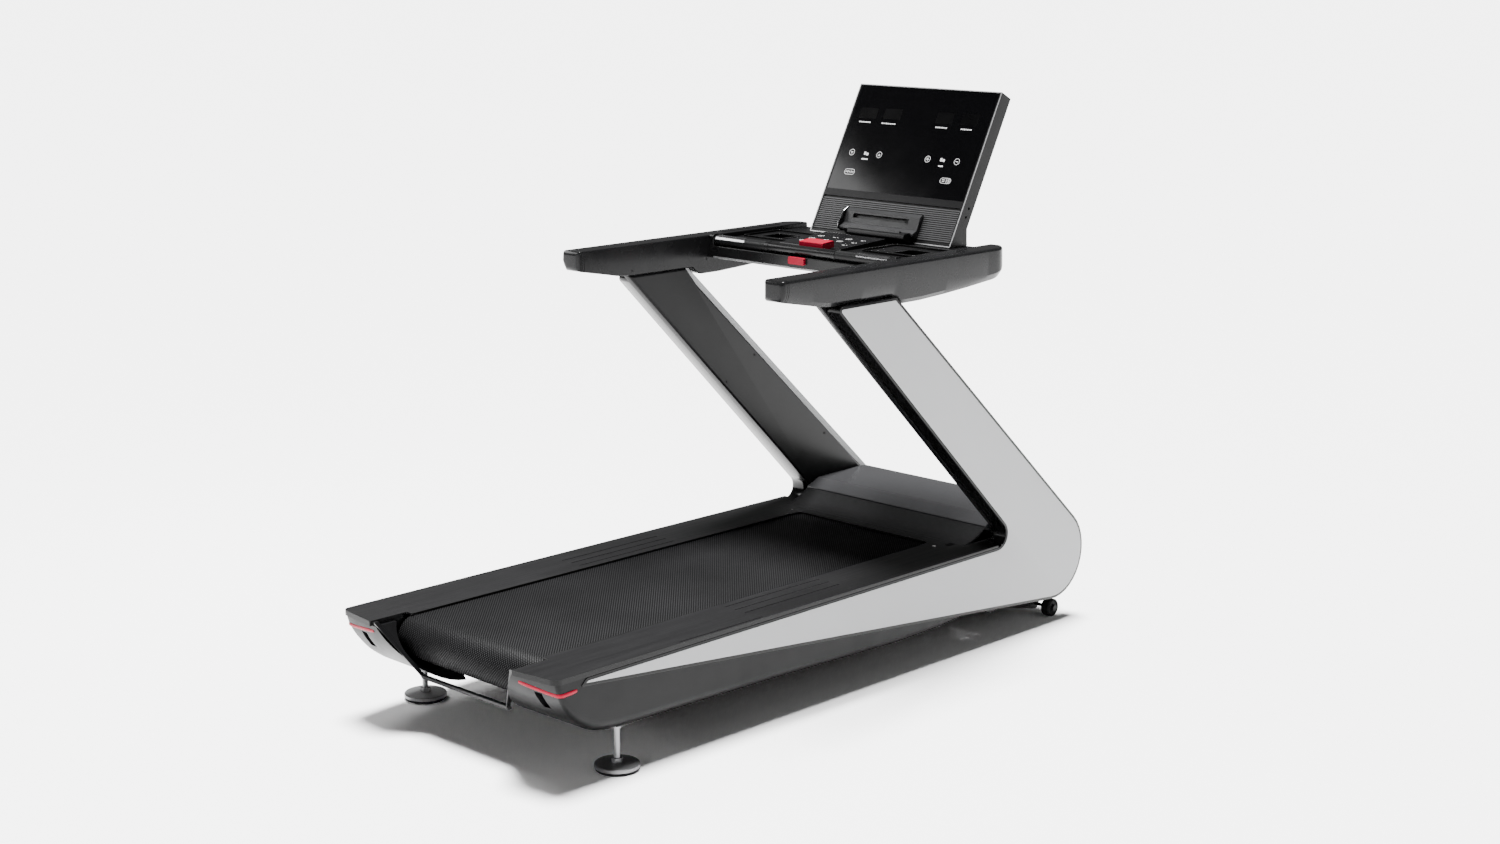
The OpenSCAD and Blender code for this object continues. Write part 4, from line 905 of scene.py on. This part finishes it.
# ---------------------------------------------------------------- display
SCREEN_UP = Vector((0, math.sin(LEAN), math.cos(LEAN)))
SCREEN_IN = Vector((0, math.cos(LEAN), -math.sin(LEAN)))
SCREEN_BASE = Vector((0, SCREEN_Y, DESK_Z))
SCREEN_TURN = Matrix((Vector((1, 0, 0)), SCREEN_UP, -SCREEN_IN)).transposed()
FLAT = Matrix.Identity(3)
GLASS_D = 0.0006
MARK = 0.00035  # thickness of a printed mark
names = (f"mark_{k:02d}" for k in itertools.count(1))


def on_face(x, s, d=GLASS_D):
    """A point of the display: across, up the face, and into it."""
    return SCREEN_BASE + Vector((x, 0, 0)) + SCREEN_UP * s + SCREEN_IN * d


def mark(x, s, w, h, mat="white", r=None):
    """A printed bar on the glass, or a dark window."""
    r = min(w, h) * 0.3 if r is None else r
    slab(on_face(x, s), (w, h), r, MARK, SCREEN_TURN, mat, next(names))


def ring_mark(x, s, w, h, line=0.0012):
    """A printed ring or stadium outline on the glass."""
    r = min(w, h) / 2 * 0.999
    outer = box_outline(w, h, r, 10)
    inner = box_outline(w - 2 * line, h - 2 * line, r - line, 10)
    ring_plate(next(names), outer, inner, MARK, SCREEN_TURN, on_face(x, s), "white")


def label(x0, x1, s, h=0.0038):
    """A row of short bars that stands for a small printed caption."""
    widths = (1.0, 0.7, 1.2, 0.8, 1.0, 0.6, 1.1)
    unit = (x1 - x0) / (sum(widths) + 0.35 * (len(widths) - 1))
    x = x0
    for w in widths:
        mark(x + w * unit / 2, s, w * unit, h)
        x += (w + 0.35) * unit


WINDOWS = (  # (x, x, s, s)
    (-0.245, -0.173, 0.393, 0.428), (-0.145, -0.075, 0.395, 0.430), (0.067, 0.132, 0.392, 0.430),
    (0.164, 0.230, 0.393, 0.431),
)
for x0, x1, s0, s1 in WINDOWS:
    mark((x0 + x1) / 2, (s0 + s1) / 2, x1 - x0, s1 - s0, "led", 0.003)
for x0, x1 in ((-0.236, -0.189), (-0.143, -0.087), (0.074, 0.119), (0.173, 0.215)):
    label(x0, x1, 0.380)
for x, s in ((-0.222, 0.276), (-0.109, 0.275), (0.086, 0.275), (0.200, 0.275)):
    ring_mark(x, s, 0.021, 0.021)
mark(-0.222, 0.2775, 0.0085, 0.0022)
mark(-0.222, 0.2735, 0.0050, 0.0022)
mark(-0.109, 0.2765, 0.0050, 0.0022)
mark(-0.109, 0.2725, 0.0085, 0.0022)
mark(0.086, 0.275, 0.0100, 0.0020)
mark(0.086, 0.275, 0.0020, 0.0100)
mark(0.200, 0.275, 0.0100, 0.0020)
for x, s in ((-0.162, 0.275), (0.144, 0.276)):
    mark(x - 0.0055, s + 0.001, 0.0075, 0.0105)
    mark(x + 0.0045, s - 0.001, 0.0085, 0.0085)
mark(-0.162, 0.257, 0.025, 0.0042)
mark(0.144, 0.256, 0.018, 0.0042)
ring_mark(-0.205, 0.211, 0.042, 0.019, 0.0013)
for k in range(5):
    mark(-0.219 + k * 0.0070, 0.211, 0.0032, 0.0070 if k % 2 else 0.0050)
ring_mark(0.181, 0.211, 0.042, 0.018)
ring_mark(0.193, 0.211, 0.0125, 0.0125, 0.0012)
mark(0.193, 0.211, 0.0030, 0.0060)
mark(0.173, 0.2135, 0.0120, 0.0020)
mark(0.173, 0.2085, 0.0095, 0.0020)
mark(0.184, 0.211, 0.0012, 0.0130)

FACE_W, FACE_H = 0.564, 0.508
outer = box_outline(FACE_W + 0.0004, FACE_H - 0.003, 0.004)
inner = box_outline(FACE_W - 0.0058, FACE_H - 0.0092, 0.0025)
ring_plate("display_bezel", outer, inner, 0.0012, SCREEN_TURN, on_face(0, FACE_H / 2 + 0.0012, 0.0004),
           "bezel")


def screen_strip(name, outline, x0, x1, mat, slot):
    """A prism along X whose outline is (out of the face, up the face)."""
    verts, faces = loft([[on_face(x, s, -out) for out, s in outline] for x in (x0, x1)])
    build(name, verts, faces, mat, 30)


# tablet shelf: an upturned fin at its left end; its bright edge is a painted highlight, a bright steel rod
# along the fin
FIN = round_poly([
    (0.000, 0.016, 0.002), (0.026, 0.012, 0.010), (0.034, 0.030, 0.016), (0.027, 0.072, 0.02),
    (0.012, 0.094, 0.006), (0.000, 0.094, 0.001),
], 8)
FIN_X = (-0.1505, -0.1478)
FIN_HIGHLIGHT_X = -0.1492
screen_strip("holder_fin", FIN, *FIN_X, "holder", "charcoal_plastic")
# painted highlight: a thin bright steel rod along the fin's curved edge
rings = []
for p in FIN:
    if p.x <= 0.006:
        continue
    ring = []
    for k in range(8):
        t = 2 * math.pi * k / 8
        ring.append(on_face(FIN_HIGHLIGHT_X + 0.0022 * math.cos(t), p.y, -(p.x + 0.0016 * math.sin(t))))
    rings.append(ring)
verts, faces = loft(rings)
build("holder_fin_highlight", verts, faces, "pulse", 60)
# painted shade: a dark square sheet where the shelf's slot ends
slab(on_face(0.1005, 0.0640, -0.0150), (0.011, 0.011), 0.001, 0.0006, SCREEN_TURN, "led",
     "holder_slot_shade")
# the dark bracket below the shelf
BRACKET = round_poly([
    (0.000, 0.000, 0), (0.050, -0.006, 0.004), (0.052, 0.010, 0.004), (0.030, 0.024, 0.006),
    (0.000, 0.024, 0),
], 4)
screen_strip("shelf_bracket", BRACKET, -0.086, 0.140, "edging", "frame_black")

# ---------------------------------------------------------------- desk details
CUP = (0.266, FRONT_Y - 0.646)
LEDGE = (0.243, 0.474)


def flat_ring(name, at, size, line, thick, r, width):
    """A raised rounded frame on the desk; width is how far its edges are rounded."""
    outer = box_outline(*size, r)
    inner = box_outline(size[0] - 2 * line, size[1] - 2 * line, max(r - line, 0.001))
    soften(ring_plate(name, outer, inner, thick, FLAT, Vector(at), "desk"), width)


for word, side in SIDES:
    flat_ring(f"cup_rim_{word}", (side * CUP[0], CUP[1], DESK_Z - 0.0005), (0.100, 0.100),
              0.0085, 0.0030, 0.021, 0.0008)
slab(Vector((-0.394, 0.467, TOP_Z - 0.0003)), (0.0135, 0.258), 0.004, 0.0006, FLAT, "led",
     "arm_slot_inlay")
for word, side in SIDES:
    flat_ring(f"desk_ledge_{word}", (side * LEDGE[0], LEDGE[1], DESK_Z - 0.0004), (0.232, 0.168),
              0.0035, 0.0065, 0.016, 0.0007)
slab(Vector((0.368, 0.353, DESK_Z - 0.0002)), (0.006, 0.006), 0.0029, 0.0012, FLAT, "white",
     "desk_dot")
BAR_BRACKET = round_poly([
    (0.262, 1.176, 0.003), (0.290, 1.176, 0.003), (0.292, 1.219, 0.010), (0.260, 1.219, 0.010),
], 4)
for word, side in SIDES:
    prism(f"bar_bracket_{word}", BAR_BRACKET, 0.3545, 0.3722, side, "desk", "charcoal_plastic", 0.0012)
# painted highlight: a pale bezel-metal strip along the lower edge of the desk's rear face
EDGE_HIGHLIGHT = [(0.2560, 1.1480), (0.2580, 1.1462), (0.2590, 1.1500), (0.2590, 1.1530), (0.2562, 1.1515)]
verts, faces = loft([[(x, y, z) for y, z in EDGE_HIGHLIGHT] for x in (-0.350, 0.350)])
build("desk_edge_highlight", verts, faces, "bezel", 30)

# keypad marks on the sloping membrane
PAD_RISE, PAD_LENGTH = 0.011, 0.205
PAD_FOOT_Y = 0.345
PAD_TURN = Matrix.Rotation(math.atan2(PAD_RISE, PAD_LENGTH), 3, "X")
KEY_STEP_X, KEY_STEP_Y = 0.056, 0.042
KEY_MARK = 0.0004  # thickness


def on_pad(x, y):
    """A point of the membrane, just above it."""
    return Vector((x, y, DESK_Z + 0.007 + (y - PAD_FOOT_Y) * PAD_RISE / PAD_LENGTH + 0.0001))


def pad_bar(name, x, y, size, r):
    """A printed bar on the membrane."""
    slab(on_pad(x, y), size, r, KEY_MARK, PAD_TURN, "white", name)


for spot in range(1, 13):
    row, col = divmod(spot - 1, 4)
    x, y = -0.112 + col * KEY_STEP_X, 0.400 + row * KEY_STEP_Y
    if spot % 2:
        outer, inner = box_outline(0.020, 0.014, 0.005), box_outline(0.0172, 0.0112, 0.0037)
        ring_plate(f"pad_ring_{spot}", outer, inner, KEY_MARK, PAD_TURN, on_pad(x, y), "white")
        pad_bar(f"pad_bar_{spot}", x, y, (0.008, 0.002), 0.0008)
    else:
        pad_bar(f"pad_bar_{spot}", x - 0.003, y, (0.010, 0.0035), 0.0010)
        pad_bar(f"pad_dot_{spot}", x + 0.007, y + 0.003, (0.004, 0.0035), 0.0010)

# ---------------------------------------------------------------- small deck details
slab(Vector((0.308, 0.537, DECK_Z - 0.0002)), (0.010, 0.007), 0.0032, 0.0022, FLAT, "white",
     "deck_lamp", 0.0008)
slab(Vector((-0.300, 0.560, DECK_Z - 0.0002)), (0.006, 0.006), 0.0028, 0.0016, FLAT, "bezel",
     "deck_stud", 0.0006)
slab(Vector((0.330, 0.585, DECK_Z - 0.0002)), (0.018, 0.030), 0.002, 0.0008, FLAT, "led",
     "deck_inlay")

# ---------------------------------------------------------------- stage, lights and camera
FLOOR_HALF = 300
CORNERS = [(-1, -1), (1, -1), (1, 1), (-1, 1)]
floor_mesh = bpy.data.meshes.new("studio_floor")
floor_mesh.from_pydata([(FLOOR_HALF * x, FLOOR_HALF * y, 0) for x, y in CORNERS], [], [(0, 1, 2, 3)])
floor = bpy.data.objects.new("studio_floor", floor_mesh)
bpy.context.scene.collection.objects.link(floor)
paint(floor, "floor")


def point(obj, way):
    """Links a light or camera and turns it to look along a direction."""
    obj.rotation_mode = "QUATERNION"
    obj.rotation_quaternion = way.to_track_quat("-Z", "Y")
    bpy.context.scene.collection.objects.link(obj)


def softbox(name, at, aim, size, power):
    """A rectangular light at one point, aimed at another."""
    data = bpy.data.lights.new(name, "AREA")
    data.shape = "RECTANGLE"
    data.size, data.size_y = size
    data.energy = power
    lamp = bpy.data.objects.new(name, data)
    lamp.location = at
    point(lamp, Vector(aim) - Vector(at))


sun = bpy.data.lights.new("high_light", "SUN")
sun.energy = 19.0
sun.angle = math.radians(20)
point(bpy.data.objects.new("high_light", sun), Vector((0.09, -0.09, -1.0)))
softbox("side_light", (5.4, 2.6, 2.4), (0.4, 0, 0.6), (3.0, 2.4), 40)
softbox("rear_strip", (-0.6, -4.6, 1.5), (0, -1.0, 0.25), (4.5, 0.5), 40)
softbox("deck_light", (-2.2, -0.6, 2.4), (0.1, 0.7, 0.3), (1.6, 1.0), 50)

world = bpy.data.worlds.new("studio_world")
world.use_nodes = True
world.node_tree.nodes["Background"].inputs["Color"].default_value = (1, 1, 1, 1)
world.node_tree.nodes["Background"].inputs["Strength"].default_value = 0.11
bpy.context.scene.world = world

YAW, PITCH = math.radians(44.14), math.radians(12.253)
cam_data = bpy.data.cameras.new("camera")
cam_data.sensor_width = 36.0
cam_data.lens = 54.34
cam = bpy.data.objects.new("camera", cam_data)
cam.location = (4.508, -4.589, 2.124)
point(cam, Vector((-math.sin(YAW) * math.cos(PITCH), math.cos(YAW) * math.cos(PITCH), -math.sin(PITCH))))
bpy.context.scene.camera = cam
